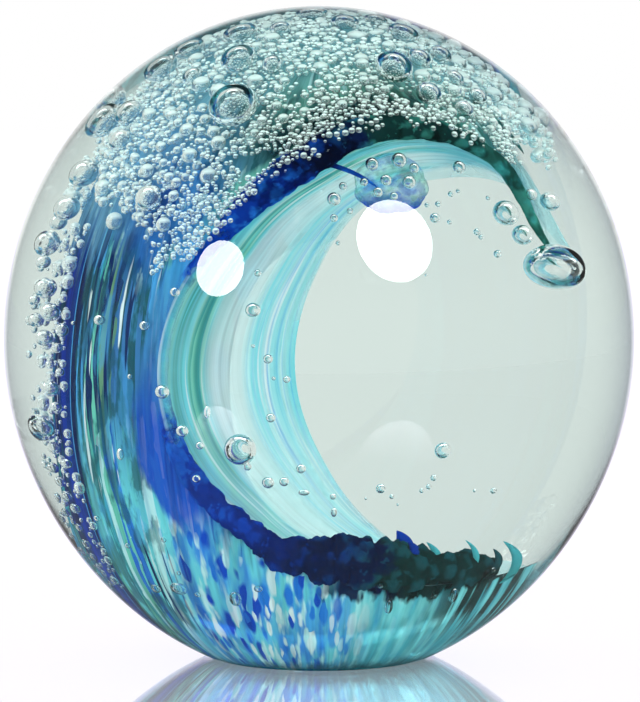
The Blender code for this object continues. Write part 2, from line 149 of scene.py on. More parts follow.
HEART_RADIUS = BALL_RADIUS - CLEAR_WALL
HEART_HEIGHT = GIRTH_HEIGHT - HEART_DROP
HEART_FOOT = FOOT_RADIUS - FOOT_BEVEL - FOOT_RING


def egg_terms():
    """How the heart's height grows with w: once with w itself, and once with its square."""
    rise = CROWN_HEIGHT - CLEAR_CROWN - HEART_HEIGHT
    foot = -math.sqrt(1.0 - (HEART_FOOT / HEART_RADIUS) ** 2)
    square = (-HEART_HEIGHT - rise * foot) / (foot * foot - foot)
    return rise - square, square, foot


EGG_SLOPE, EGG_SQUARE, FOOT_LEVEL = egg_terms()


def place(u, v, w):
    """The real place of a point of the unit sphere's space."""
    height = HEART_HEIGHT + EGG_SLOPE * w + EGG_SQUARE * w * w
    return Vector((HEART_SHIFT + HEART_RADIUS * u, HEART_RADIUS * v, height))


def unplace(point):
    """The unit sphere's coordinates of a real place."""
    root = EGG_SLOPE**2 + 4.0 * EGG_SQUARE * (point.z - HEART_HEIGHT)
    w = (math.sqrt(max(0.0, root)) - EGG_SLOPE) / (2.0 * EGG_SQUARE)
    return Vector(((point.x - HEART_SHIFT) / HEART_RADIUS, point.y / HEART_RADIUS, w))


def outward(u, v, w):
    """The heart's own normal at a point of the unit sphere."""
    stretch = EGG_SLOPE + 2.0 * EGG_SQUARE * w
    return Vector((u / HEART_RADIUS, v / HEART_RADIUS, w / stretch)).normalized()


def round_curve(shares, angle):
    """A smooth closed curve through evenly spaced values, read at an angle in degrees."""
    count = len(shares)
    place_on = (angle % 360.0) / 360.0 * count
    step, part = int(place_on), place_on % 1.0
    before, here, after, later = (shares[(step + k) % count] for k in (-1, 0, 1, 2))
    bend = 2.0 * before - 5.0 * here + 4.0 * after - later
    end = 3.0 * (here - after) + later - before
    return here + 0.5 * part * (after - before + part * (bend + part * end))


def curl_reach(angle, v):
    """How far the curl's wall lies from its axis, at an angle and a depth."""
    share = (v - FRONT_PLANE) / (REAR_PLANE - FRONT_PLANE)
    if share < 0.0:
        bowed = share * (1.0 + CURL_BOW)
    elif share > 1.0:
        bowed = 1.0 + (share - 1.0) * (1.0 - CURL_BOW)
    else:
        bowed = share + CURL_BOW * share * (1.0 - share)
    return mix(round_curve(CURL_FRONT, angle), round_curve(CURL_REAR, angle), bowed)


def heart_reach(angle, v):
    """How far the heart's skin lies from the curl's axis, at an angle and a depth."""
    turn = math.radians(angle)
    along = CURL_AXIS[0] * math.cos(turn) + CURL_AXIS[1] * math.sin(turn)
    inside = 1.0 - v * v - CURL_AXIS[0] ** 2 - CURL_AXIS[1] ** 2
    return math.sqrt(max(0.0, along * along + inside)) - along


def polar(angle, v, reach):
    """A point of the unit space at an angle and a reach from the curl's axis."""
    turn = math.radians(angle)
    return CURL_AXIS[0] + reach * math.cos(turn), v, CURL_AXIS[1] + reach * math.sin(turn)


def last_true(test, sure, unsure, halvings):
    """Where a test that holds at one number, and not at another, stops holding."""
    for _ in range(halvings):
        middle = 0.5 * (sure + unsure)
        if test(middle):
            sure = middle
        else:
            unsure = middle
    return sure


RIMS = {}


def rims(angle):
    """The depths between which the curl leaves a wall, at an angle; None where it leaves none."""
    key = round(angle, 3)
    if key not in RIMS:

        def has_wall(v):
            return heart_reach(angle, v) > curl_reach(angle, v)

        steps = [DEPTH_LIMIT * (k / (0.5 * DEPTH_STEPS) - 1.0) for k in range(DEPTH_STEPS + 1)]
        wall = [has_wall(v) for v in steps]
        RIMS[key] = None
        if any(wall):
            last = max(k for k, there in enumerate(wall) if there)
            first = last
            while first > 0 and wall[first - 1]:
                first -= 1
            ends = ((first, max(first - 1, 0)), (last, min(last + 1, DEPTH_STEPS)))
            RIMS[key] = tuple(last_true(has_wall, steps[sure], steps[past], 24) for sure, past in ends)
    return RIMS[key]


# The angles at which the wall begins and ends, below the lip and past the shore
WALL_START = last_true(rims, LIP_ANGLE, LIP_ANGLE - 40.0, 14)
WALL_END = last_true(rims, SHORE_ANGLE, SHORE_ANGLE + 40.0, 14)


def skin_spot(angle, share, depth=0.0):
    """A unit-space point on the heart's skin between the rims, or a share of the way in to the curl."""
    front, rear = (math.asin(v) for v in rims(angle))
    v = math.sin(mix(front, rear, share))
    outer, inner = heart_reach(angle, v), curl_reach(angle, v)
    return polar(angle, v, mix(outer, min(outer, inner), depth))


def face_spot(angle, share):
    """A unit-space point on the curl's wall between the rims."""
    v = mix(*rims(angle), share)
    return polar(angle, v, min(curl_reach(angle, v), heart_reach(angle, v)))


# Objects and meshes


def add_object(name, data):
    thing = bpy.data.objects.new(name, data)
    bpy.context.scene.collection.objects.link(thing)
    return thing


def make_object(name, mesh, material, node=None, slot=None):
    """A piece that rides on the model, and stands for a CAD node where one is named."""
    thing = add_object(name, mesh)
    mesh.materials.append(material)
    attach(thing, BODY)
    if node:
        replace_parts(thing, *([node] if isinstance(node, str) else node))
    slot or (node if isinstance(node, str) else node[0])
    return thing


def new_mesh(name, points, faces, numbers=None):
    """A smooth mesh, with the numbers that its material reads at each point."""
    mesh = bpy.data.meshes.new(name)
    mesh.from_pydata(points, [], faces)
    mesh.shade_smooth()
    for key, values in (numbers or {}).items():
        if isinstance(values[0], float):
            mesh.attributes.new(key, "FLOAT", "POINT").data.foreach_set("value", values)
        else:
            flat = [number for value in values for number in value]
            mesh.attributes.new(key, "FLOAT_VECTOR", "POINT").data.foreach_set("vector", flat)
    return mesh


def net(step, columns, rows, first=0):
    """Faces between rows of points, `step` to a row; with as many columns, they close into a ring."""
    return [
        (low + c, low + (c + 1) % step, low + step + (c + 1) % step, low + step + c)
        for low in range(first, first + rows * step, step)
        for c in range(columns)
    ]


def circle(count):
    """The cosine and sine of evenly spaced turns."""
    turns = [2.0 * math.pi * k / count for k in range(count)]
    return [(math.cos(turn), math.sin(turn)) for turn in turns]


def grid(name, columns, rows, spot):
    """A grid of faces over spot(x, y), x and y from 0 to 1, which gives a real place and the numbers
    that the material reads there."""
    spots = [spot(c / columns, r / rows) for r in range(rows + 1) for c in range(columns + 1)]
    numbers = {key: [read[key] for _, read in spots] for key in spots[0][1]}
    return new_mesh(name, [point for point, _ in spots], net(columns + 1, columns, rows), numbers)


def tube(name, sides, points, numbers):
    """A closed tube round rings of points."""
    end = len(points) - sides
    faces = net(sides, sides, end // sides)
    faces += [tuple(range(sides)), tuple(range(end, end + sides))]
    return new_mesh(name, points, faces, numbers)


def ball_of_air(level):
    """The points and faces of a round ball of radius 1."""
    bm = bmesh.new()
    bmesh.ops.create_icosphere(bm, subdivisions=level, radius=1.0)
    points = [vertex.co.copy() for vertex in bm.verts]
    faces = [tuple(vertex.index for vertex in face.verts) for face in bm.faces]
    bm.free()
    return points, faces


# Materials


class Wire:
    """What a shader node gives, which can be reckoned with as a number is."""

    def __init__(self, paint, socket):
        self.paint, self.socket = paint, socket

    def math(self, operation, other=0.0, limit=False):
        inputs = {0: self, 1: other}
        return self.paint.wire("ShaderNodeMath", inputs, operation=operation, use_clamp=limit)

    def __add__(self, other):
        return self.math("ADD", other)

    def __sub__(self, other):
        return self.math("SUBTRACT", other)

    def __mul__(self, other):
        return self.math("MULTIPLY", other)

    def __abs__(self):
        return self.math("ABSOLUTE")

    def up(self, low, high, to_low=0.0, to_high=1.0, kind="LINEAR"):
        """How far the number has come from one bound to the other."""
        inputs = {"Value": self, "From Min": low, "From Max": high, "To Min": to_low, "To Max": to_high}
        return self.paint.wire("ShaderNodeMapRange", inputs, interpolation_type=kind)

    def smooth(self, low, high, to_low=0.0, to_high=1.0):
        return self.up(low, high, to_low, to_high, "SMOOTHSTEP")

    def off(self, middle, low, high):
        """How far the number's distance from a middle has come from one bound to the other."""
        return abs(self - middle).up(low, high)

    def strayed(self, reach, width, length, seed):
        """The number, straying from place to place, drawn out along the streaks."""
        return (self.paint.streaks(width, length, seed) - 0.5) * (2.0 * reach) + self

    def ramp(self, stops, interpolation="LINEAR"):
        """A colour ramp with (position, colour) stops."""
        made = self.paint.node("ShaderNodeValToRGB", {0: self})
        ramp = made.color_ramp
        ramp.interpolation = interpolation
        while len(ramp.elements) < len(stops):
            ramp.elements.new(1.0)
        for element, (position, colour) in zip(ramp.elements, stops):
            element.position = position
            element.color = (*colour, 1.0)
        return Wire(self.paint, made.outputs[0])

    def zoned(self, stops, low, high, interpolation="LINEAR"):
        """A colour ramp whose stops are written in the number's own unit."""
        placed = [((stop - low) / (high - low), colour) for stop, colour in stops]
        return self.up(low, high).ramp(placed, interpolation)


class Paint:
    """A material, or the world, while its nodes are made."""

    def __init__(self, tree):
        self.tree = tree
        tree.nodes.clear()

    def node(self, kind, inputs=None, **settings):
        """A new shader node, with its settings, and its inputs as values or as wires."""
        made = self.tree.nodes.new(kind)
        for name, value in settings.items():
            setattr(made, name, value)
        for key, value in (inputs or {}).items():
            socket = made.inputs[key]
            if isinstance(value, Wire):
                self.tree.links.new(value.socket, socket)
            else:
                socket.default_value = (*value, 1.0) if socket.type == "RGBA" else value
        return made

    def wire(self, kind, inputs=None, output=0, **settings):
        return Wire(self, self.node(kind, inputs, **settings).outputs[output])

    def read(self, name, output="Fac"):
        """A number that the mesh has at each point."""
        return self.wire("ShaderNodeAttribute", output=output, attribute_name=name)

    def spot(self):
        return self.wire("ShaderNodeTexCoord", output="Object")

    def facing(self):
        return self.wire("ShaderNodeLayerWeight", {"Blend": 0.5}, "Facing")

    def parts(self, vector):
        made = self.node("ShaderNodeSeparateXYZ", {0: vector})
        return [Wire(self, socket) for socket in made.outputs]

    def noise(self, vector, scale, detail=3.0, rough=0.55, output=0):
        inputs = {"Vector": vector, "Scale": scale, "Detail": detail, "Roughness": rough}
        return self.wire("ShaderNodeTexNoise", inputs, output)

    def drawn_out(self, flow, width, length, seed):
        scale = (1.0 / width, 1.0 / width, 1.0 / length)
        inputs = {"Vector": flow, "Scale": scale, "Location": (seed, 2.0 * seed, 0.0)}
        return self.wire("ShaderNodeMapping", inputs)

    def streaks(self, width, length, seed, detail=2.0):
        """Noise drawn out along the streaks, from about 0.3 to 0.7, of a width and length in mm."""
        flow = self.drawn_out(self.read("flow", "Vector"), width, length, seed)
        return self.noise(flow, 1.0, detail)

    def flakes(self, width, length, seed):
        """A random number for each of the drawn-out flakes that cover the surface, and how far a point
        lies from its flake's middle."""
        flow = self.read("flow", "Vector")
        wobble = {0: self.noise(flow, 0.6, 1.0, output=1), 1: (0.7, 0.7, 0.7), 2: flow}
        flow = self.wire("ShaderNodeVectorMath", wobble, operation="MULTIPLY_ADD")
        inputs = {"Vector": self.drawn_out(flow, width, length, seed), "Scale": 1.0, "Randomness": 1.0}
        cells = self.node("ShaderNodeTexVoronoi", inputs)
        number = self.wire("ShaderNodeSeparateColor", {0: Wire(self, cells.outputs["Color"])})
        return number, Wire(self, cells.outputs["Distance"])

    def streaked(self, colour, *rows):
        """A colour with streaks of others laid over it, a row each: their width and length in mm, the
        noise's seed and detail, where in it they begin and are full, their strength and their colour."""
        for width, length, seed, detail, low, high, strength, other in rows:
            streak = self.streaks(width, length, seed, detail).smooth(low, high)
            colour = blend(streak * strength, colour, other)
        return colour

    def thinning(self):
        """How much of the colour is left towards the wave's open end on the right, from 1 to 0."""
        spot = self.spot()
        x, y, z = self.parts(spot)
        aside = self.noise(spot, 300.0) * (3.0 * MM) + (y * 0.8 + x)
        sea, crest = aside.up(22.5 * MM, 19.5 * MM), aside.up(20.5 * MM, 16.0 * MM)
        upper = z.math("GREATER_THAN", GIRTH_HEIGHT)
        return self.wire("ShaderNodeMix", {0: upper, 2: sea, 3: crest}, data_type="FLOAT")

    def clear_glass(self, tint, index, wires):
        """Clear glass of a tint, unless a wire gives it."""
        inputs = {"Base Color": tint, "Roughness": 0.0, "IOR": index, "Transmission Weight": 1.0}
        made = self.node("ShaderNodeBsdfPrincipled", inputs)
        for name, wire in wires.items():
            self.tree.links.new(wire.socket, made.inputs[name])
        return Wire(self, made.outputs[0])

    def scattering(self, colour):
        """What scatters light back, and what scatters it through."""
        kinds = ("ShaderNodeBsdfDiffuse", "ShaderNodeBsdfTranslucent")
        return [self.wire(kind, {"Color": colour}) for kind in kinds]


def blend(share, first, second):
    """A mix of two colours."""
    paint = next(value.paint for value in (share, first, second) if isinstance(value, Wire))
    return paint.wire("ShaderNodeMix", {0: share, 6: first, 7: second}, 2, data_type="RGBA")


def painted(name, build, *details):
    """A material whose surface is the shader that build() makes."""
    material = bpy.data.materials.new(name)
    material.use_nodes = True
    paint = Paint(material.node_tree)
    paint.node("ShaderNodeOutputMaterial", {"Surface": build(paint, *details)})
    return material


def coloured_glass(colour, cover, depth):
    """Glass of the ball's own index, so that it bends nothing: it scatters its colour where it covers,
    and lets light straight through, stained with it, where it doesn't."""
    paint = colour.paint
    lit, through = paint.scattering(colour)
    body = paint.wire("ShaderNodeMixShader", {0: 0.2, 1: lit, 2: through})
    clear = paint.wire("ShaderNodeBsdfTransparent", {"Color": blend(depth, grey(1.0), colour)})
    return paint.wire("ShaderNodeMixShader", {0: cover, 1: clear, 2: body})


def ball_glass(paint):
    """Clear glass with a faint green cast, and painted shade that darkens it where it is seen edge on,
    more towards the right; and a trace of the cords that a gather leaves in it."""
    spot = paint.spot()
    stretched = paint.wire("ShaderNodeMapping", {"Vector": spot, "Scale": (1.0, 1.0, 0.45)})
    cords = paint.noise(stretched, CORD_SCALE, 2.0)
    bump = paint.wire("ShaderNodeBump", {"Height": cords, "Strength": 1.0, "Distance": CORD_HEIGHT})
    # Painted shade: the glass darkens where it is seen edge on, more on the right side
    aside = paint.parts(spot)[0].smooth(-20.0 * MM, 25.0 * MM, 0.4, 1.0)
    edge = paint.facing().smooth(0.5, 0.95) * aside
    tinted = blend(edge, blend(cords, BALL_TINT, BALL_TINT_DEEP), BALL_EDGE_SHADE)
    return paint.clear_glass(BALL_TINT, GLASS_INDEX, {"Normal": bump, "Base Color": tinted})


def bubble_glass(paint, white, top_highlight):
    """Air inside glass, and a share of white for what crowded bubbles scatter among themselves, with more
    white painted on top as a highlight, where the light comes from."""
    frost = paint.noise(paint.spot(), 900.0, 1.0)
    tinted = blend(frost, AIR_TINT, grey(1.0))
    air = paint.clear_glass(grey(1.0), AIR_IN_GLASS, {"Base Color": tinted})
    lit, through = paint.scattering(FOAM)
    foam = paint.wire("ShaderNodeAddShader", {0: lit, 1: through})
    upward = paint.parts(paint.wire("ShaderNodeNewGeometry", output="Normal"))[2]
    inside = paint.wire("ShaderNodeNewGeometry", output="Backfacing")
    # Painted highlight: the white share grows on the bubbles' upper faces
    share = upward.up(0.3, 0.7, white, top_highlight) * (inside * -1.0 + 1.0)
    return paint.wire("ShaderNodeMixShader", {0: share, 1: air, 2: foam})


def wave_skin_glass(paint):
    """The outside of the wave: strands that run from the crest down its back, and converge on the foot
    as drawn-out flakes; green and blue under the froth."""
    level, angle, share = (paint.read(name) for name in ("level", "angle", "share"))

    # Where a point lies round the heart, in degrees: 0 left, 90 at the rear
    aside, back, _ = paint.parts(paint.read("flow", "Vector"))
    turn = back.math("ARCTAN2", aside).math("DEGREES")

    # Strands: each drawn-out cell takes the colour of a turn near its own
    near = (paint.flakes(1.5, 26.0, 1.0)[0] - 0.5) * 9.0 + turn.strayed(7.0, 4.0, 22.0, 2.0)
    strands = near.zoned(STRAND_STOPS, -180.0, 180.0, "CONSTANT")
    low_strands = near.zoned(LOW_STRAND_STOPS, -180.0, 180.0, "CONSTANT")
    strands = blend(level.strayed(0.2, 1.5, 20.0, 3.0).up(0.0, -0.3), strands, low_strands)
    strands = paint.streaked(
        strands,
        (2.6, 5.0, 12.0, 4.0, 0.5, 0.58, 0.75, DEEP_TEAL),
        (2.6, 7.0, 32.0, 3.0, 0.55, 0.62, 0.4, AZURE),
        (0.9, 12.0, 4.0, 2.0, 0.65, 0.68, 1.0, WHITE),
        (1.1, 16.0, 5.0, 2.0, 0.6, 0.64, 1.0, NAVY),
    )
    left_edge = turn.strayed(2.5, 3.0, 30.0, 34.0)
    outline = left_edge.zoned(EDGE_STOPS, -20.0, 20.0, "CONSTANT")
    strands = blend(left_edge.off(-0.5, 6.8, 5.8), strands, outline)

    # Flakes low in front: a pale wash with strong chips on it
    wash = paint.streaked(
        AQUA,
        (2.0, 6.0, 6.0, 2.0, 0.35, 0.65, 1.0, linear(66, 150, 236)),
        (1.2, 4.0, 13.0, 2.0, 0.5, 0.66, 1.0, PALE),
    )
    green_wash = paint.streaked(
        linear(140, 232, 238),
        (2.0, 7.0, 14.0, 2.0, 0.4, 0.62, 1.0, AQUA_DEEP),
        (2.4, 9.0, 35.0, 2.0, 0.52, 0.62, 0.25, TEAL),
    )
    greenish = turn.strayed(12.0, 3.0, 20.0, 7.0).up(-90.0, -112.0)
    flakes = blend(greenish, wash, green_wash)
    fewer = greenish * -0.93 + 1.0
    for width, length, seed, stops, most, rim, core in CHIPS:
        chip, apart = paint.flakes(width, length, seed)
        there = chip.math("LESS_THAN", most) * apart.up(rim, core) * fewer
        flakes = blend(there, flakes, chip.ramp(stops, "CONSTANT"))
    hanging = paint.streaks(1.6, 12.0, 15.0).smooth(0.42, 0.54)
    right_end = turn.up(-120.0, -138.0) * level.up(-0.74, -0.6)
    flakes = blend(hanging * right_end, flakes, EMERALD)
    in_sea = level.strayed(0.25, 1.2, 10.0, 10.0).up(-0.28, -0.4)
    in_front = turn.strayed(8.0, 2.0, 20.0, 16.0).up(-34.0, -46.0)
    colour = blend(in_sea * in_front, strands, flakes)

    # The blue that runs down the front rim into the ridge, and the dark line round the foot
    from_rim = angle.off(194.0, 16.0, 4.0) * -0.045 + share.strayed(0.04, 2.0, 12.0, 17.0)
    held = from_rim.up(0.06, 0.045) * angle.off(170.0, 40.0, 30.0)
    along_left = angle.strayed(8.0, 2.0, 8.0, 18.0).zoned(RIM_STOPS, 140.0, 260.0)
    colour = blend(held * 0.9, colour, along_left)
    beside = share.strayed(0.04, 1.6, 3.0, 28.0).up(0.03, 0.02)
    on_ridge = angle.strayed(5.0, 2.0, 5.0, 29.0).up(232.0, 244.0)
    colour = blend(beside * on_ridge, colour, angle.zoned(RIDGE_STOPS, 220.0, 320.0))
    foot_line = level.strayed(0.03, 1.0, 1.0, 36.0).up(-0.77, -0.81)
    colour = blend(foot_line * 0.85, colour, DEEP_TEAL)

    # Under the froth
    crest = angle.strayed(12.0, 3.0, 8.0, 19.0).zoned(CREST_STOPS, 20.0, 220.0)
    crest = paint.streaked(
        crest,
        (2.4, 5.0, 20.0, 4.0, 0.5, 0.6, 0.8, angle.zoned(CREST_DARK_STOPS, 20.0, 220.0)),
        (1.5, 4.0, 21.0, 4.0, 0.56, 0.64, 0.6, PALE),
    )
    by_lip = share.strayed(0.12, 2.4, 3.0, 30.0).up(0.17, 0.1)
    crest = blend(angle.off(106.0, 34.0, 20.0) * by_lip, crest, EMERALD)
    upper = share.strayed(0.06, 2.0, 3.0, 39.0).up(0.16, 0.32)
    crest = blend(upper * 0.55, crest, SKY)
    under = share.strayed(0.015, 2.0, 4.0, 33.0).up(0.055, 0.04)
    crest = blend(under * 0.9, crest, angle.zoned(UNDER_BAND_STOPS, 30.0, 170.0))
    in_crest = level.strayed(0.2, 1.5, 10.0, 22.0).up(0.3, 0.46)
    colour = blend(in_crest, colour, crest)

    left = paint.thinning()
    behind = turn.off(100.0, 70.0, 40.0) * -0.5 + 1.0
    cover = paint.streaks(1.4, 20.0, 11.0).smooth(0.38, 0.58, 0.55, 0.85) * behind * left
    return coloured_glass(colour, cover, left * 0.85)


def wave_face_glass(paint):
    """The lining of the curl: broad strands from teal to pale, front to rear, with fine ones between
    them, and plain pale blue on the underside of the lip."""
    share, angle = paint.read("share"), paint.read("angle")
    near = (paint.flakes(2.0, 40.0, 31.0)[0] - 0.5) * 0.05 + share.strayed(0.07, 3.0, 30.0, 21.0)
    colour = paint.streaked(
        near.ramp(FACE_STOPS),
        (1.7, 16.0, 22.0, 2.0, 0.56, 0.64, 0.9, WHITE),
        (1.7, 18.0, 23.0, 2.0, 0.58, 0.63, share.up(0.42, 0.12) * 0.6, GREEN_SHADE),
        (1.2, 40.0, 24.0, 2.0, 0.52, 0.6, share.up(0.6, 0.75) * 0.45, AZURE),
        (3.0, 12.0, 26.0, 4.0, 0.45, 0.65, 0.35, PALE),
    )
    lower = angle.strayed(8.0, 2.0, 12.0, 37.0).up(184.0, 206.0)
    colour = blend(lower * 0.5, colour, PALE)
    run = share.strayed(0.07, 2.0, 12.0, 38.0).up(0.06, 0.035) * angle.off(128.0, 26.0, 18.0)
    colour = blend(run * 0.85, colour, COBALT)
    under_lip = angle.strayed(6.0, 2.0, 10.0, 27.0).up(92.0, 74.0)
    colour = blend(under_lip * 0.85, colour, UNDERSIDE)
    left = angle.up(312.0, 296.0) * paint.thinning()
    cover = paint.streaks(2.0, 30.0, 25.0).smooth(0.35, 0.6, 0.5, 0.7) * left
    return coloured_glass(colour, cover, left * 0.9)


def frit_glass(paint):
    """Crushed glass melted into a rope: cobalt at the left, emerald at the right and over the crest,
    with painted light: lighter where a lump stands out, for the light that comes through it."""
    angle, spot = paint.read("angle"), paint.spot()
    grains = paint.noise(spot, 420.0)
    strayed = (grains - 0.5) * 40.0 + angle
    lit = strayed.zoned(FRIT_LIT_STOPS, 0.0, 360.0)
    # Painted light: the lumps that stand out take the lighter lit colours
    proud = (grains * 0.8 + paint.read("lump")).smooth(0.7, 1.3)
    colour = blend(proud * 0.6, strayed.zoned(FRIT_STOPS, 0.0, 360.0), lit)
    specks = paint.noise(spot, 900.0, 2.0).smooth(0.62, 0.68)
    colour = blend(specks * 0.5, colour, lit)
    thin = strayed.off(172.0, 11.0, 21.0)
    patchy = paint.noise(spot, 260.0, 3.0, 0.6).smooth(0.42, 0.56, 0.35, 1.0)
    cover = thin.smooth(0.0, 1.0, 0.1, 0.97) * patchy.math("MAXIMUM", angle.up(160.0, 200.0))
    return coloured_glass(colour, cover, thin)


def drip_glass(paint):
    """A drop of nearly clear glass, with green and blue folds in it, cobalt towards its foot, and painted
    cobalt shade round its edge.
    """
    spot = paint.spot()
    swirl = paint.noise(spot, 420.0, 3.0, 0.6)
    height = paint.parts(spot)[2]
    low, high = (corner.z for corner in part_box("lip_drip"))
    strayed = swirl * (4.0 * MM) + height
    foot = strayed.up(mix(low, high, 0.5) + 2.0 * MM, mix(low, high, 0.2) + 2.0 * MM)
    # Painted shade: cobalt round the drop's outline, where it is seen edge on, below its top
    rim = paint.facing().smooth(0.7, 0.9) * height.up(high, mix(low, high, 0.4))
    edge = foot.math("MAXIMUM", rim)
    colour = blend(edge, swirl.ramp(FOLD_STOPS), COBALT)
    folds = abs(swirl - 0.5).smooth(0.02, 0.14, 0.08, 0.55)
    cover = folds.math("MAXIMUM", edge * 0.85) * strayed.up(high + 2.5 * MM, mix(low, high, 0.6))
    return coloured_glass(colour, cover, 0.35)


def core_glass(paint):
    """The pale gather in the wave's wall, clouded a little."""
    clouds = paint.noise(paint.spot(), 120.0)
    return coloured_glass(blend(clouds, TURQUOISE, PALE), clouds.smooth(0.4, 0.7, 0.1, 0.35), 0.3)


# The colours round the heart by the turn, and along the rims by the angle, in degrees
STRAND_STOPS = (
    (-180.0, TEAL), (-60.0, JADE), (-53.0, AQUA), (-50.0, DEEP_TEAL), (-48.5, JADE), (-45.5, WHITE),
    (-44.5, AZURE), (-41.0, DENIM), (-37.5, DEEP_TEAL), (-35.0, DENIM), (-32.0, DEEP_TEAL),
    (-30.0, DENIM), (-27.5, OLIVE), (-25.5, NAVY), (-22.0, TEAL), (-20.0, NAVY), (-17.5, JADE),
    (-15.5, DEEP_TEAL), (-13.5, AZURE), (-12.0, NAVY), (8.0, INDIGO), (14.0, TEAL), (22.0, BLUE),
    (30.0, NAVY), (38.0, AQUA), (48.0, AZURE), (58.0, TEAL), (74.0, AQUA), (92.0, PALE),
    (110.0, TURQUOISE), (135.0, AQUA),
)
LOW_STRAND_STOPS = (
    (-180.0, TEAL), (-60.0, AQUA), (-52.0, BLUE), (-46.0, WHITE), (-44.0, AZURE), (-38.0, AQUA),
    (-34.0, PALE), (-31.0, AQUA), (-28.0, BLUE), (-25.0, JADE), (-22.0, PALE), (-19.0, TEAL),
    (-16.0, AQUA), (-13.0, JADE), (-10.0, TEAL), (-7.0, NAVY), (-4.0, COBALT), (5.0, NAVY),
    (14.0, TEAL), (24.0, AZURE), (34.0, INDIGO), (44.0, AQUA), (60.0, BLUE), (80.0, AQUA),
    (100.0, TEAL), (130.0, AQUA),
)
EDGE_STOPS = ((-20.0, NAVY), (-4.6, AZURE), (-4.0, INDIGO), (0.0, linear(8, 60, 176)), (4.0, INDIGO))
RIM_STOPS = (
    (140.0, COBALT), (152.0, BLUE), (162.0, AZURE), (176.0, DENIM), (186.0, COBALT), (210.0, COBALT),
    (236.0, COBALT), (260.0, AZURE),
)
UNDER_BAND_STOPS = (
    (30.0, linear(110, 190, 190)), (60.0, linear(120, 200, 200)), (76.0, UNDERSIDE),
    (100.0, UNDERSIDE), (112.0, linear(150, 225, 205)), (140.0, linear(120, 205, 185)),
    (156.0, AZURE), (170.0, BLUE),
)
RIDGE_STOPS = (
    (220.0, ROPE_BLUE), (240.0, ROPE_NAVY), (264.0, ROPE_NAVY), (276.0, EMERALD), (320.0, EMERALD),
)
CREST_STOPS = (
    (20.0, linear(140, 195, 212)), (46.0, linear(96, 164, 184)), (58.0, linear(66, 130, 134)),
    (70.0, linear(74, 140, 132)), (84.0, linear(92, 160, 148)), (97.0, linear(70, 125, 110)),
    (106.0, linear(100, 166, 150)), (120.0, linear(100, 160, 150)), (136.0, linear(88, 146, 174)),
    (147.0, linear(72, 140, 206)), (158.0, linear(52, 116, 190)), (176.0, linear(44, 102, 170)),
    (214.0, NAVY),
)
CREST_DARK_STOPS = (
    (20.0, DEEP_TEAL), (60.0, FOREST), (118.0, FOREST), (136.0, DEEP_TEAL), (148.0, INDIGO),
    (220.0, NAVY),
)
FRIT_STOPS = (
    (0.0, EMERALD_EDGE), (44.0, EMERALD_EDGE), (70.0, EMERALD), (96.0, EMERALD), (106.0, ROPE_NAVY),
    (120.0, ROPE_NAVY), (130.0, ROPE_BLUE), (148.0, ROPE_BLUE), (160.0, COBALT), (186.0, COBALT),
    (198.0, ROPE_BLUE), (212.0, linear(8, 38, 116)), (230.0, ROPE_NAVY), (256.0, ROPE_NAVY),
    (266.0, EMERALD), (316.0, EMERALD), (330.0, TEAL), (360.0, TEAL),
)
# The frit's lighter colours by angle: painted light on its standing lumps, and the colour of its random
# specks
FRIT_LIT_STOPS = (
    (0.0, JADE), (50.0, TEAL), (80.0, EMERALD_EDGE), (100.0, EMERALD_EDGE), (116.0, COBALT),
    (132.0, BLUE), (150.0, BLUE), (170.0, AZURE), (190.0, BLUE), (204.0, COBALT), (228.0, INDIGO),
    (262.0, DEEP_TEAL), (316.0, DEEP_TEAL), (330.0, AQUA_DEEP), (360.0, AQUA_DEEP),
)

# The colours across the lining from front to rear, of the drop's folds, and of the chips
FACE_STOPS = (
    (0.0, AZURE), (0.02, WHITE), (0.05, AQUA), (0.10, PALE_JADE), (0.135, AQUA),
    (0.15, linear(86, 176, 170)), (0.165, AQUA), (0.22, TURQUOISE), (0.25, PALE_JADE),
    (0.28, linear(96, 186, 176)), (0.30, TEAL), (0.315, PALE_JADE), (0.34, AQUA), (0.37, PALE),
    (0.41, WHITE), (0.58, WHITE), (0.67, PALE), (0.71, TURQUOISE), (0.75, PALE), (0.80, AZURE),
    (0.83, PALE), (0.88, TURQUOISE), (0.92, PALE), (0.96, AQUA), (1.0, TURQUOISE),
)
FOLD_STOPS = ((0.36, BLUE), (0.43, AZURE), (0.48, PALE), (0.55, JADE), (0.61, TEAL), (0.67, EMERALD))
CHIP_STOPS = ((0.0, COBALT), (0.2, BLUE), (0.39, WHITE), (0.49, AZURE))
SMALL_CHIP_STOPS = ((0.0, WHITE), (0.12, BLUE), (0.22, PALE), (0.32, COBALT))

# Large and small chips: width and length in mm, seed, colours, the share of the flakes that have one,
# and how far from its middle a chip ends and is full
CHIPS = (
    (1.5, 3.6, 8.0, CHIP_STOPS, 0.57, 0.56, 0.4),
    (0.9, 2.3, 9.0, SMALL_CHIP_STOPS, 0.4, 0.52, 0.36),
)

# The ball


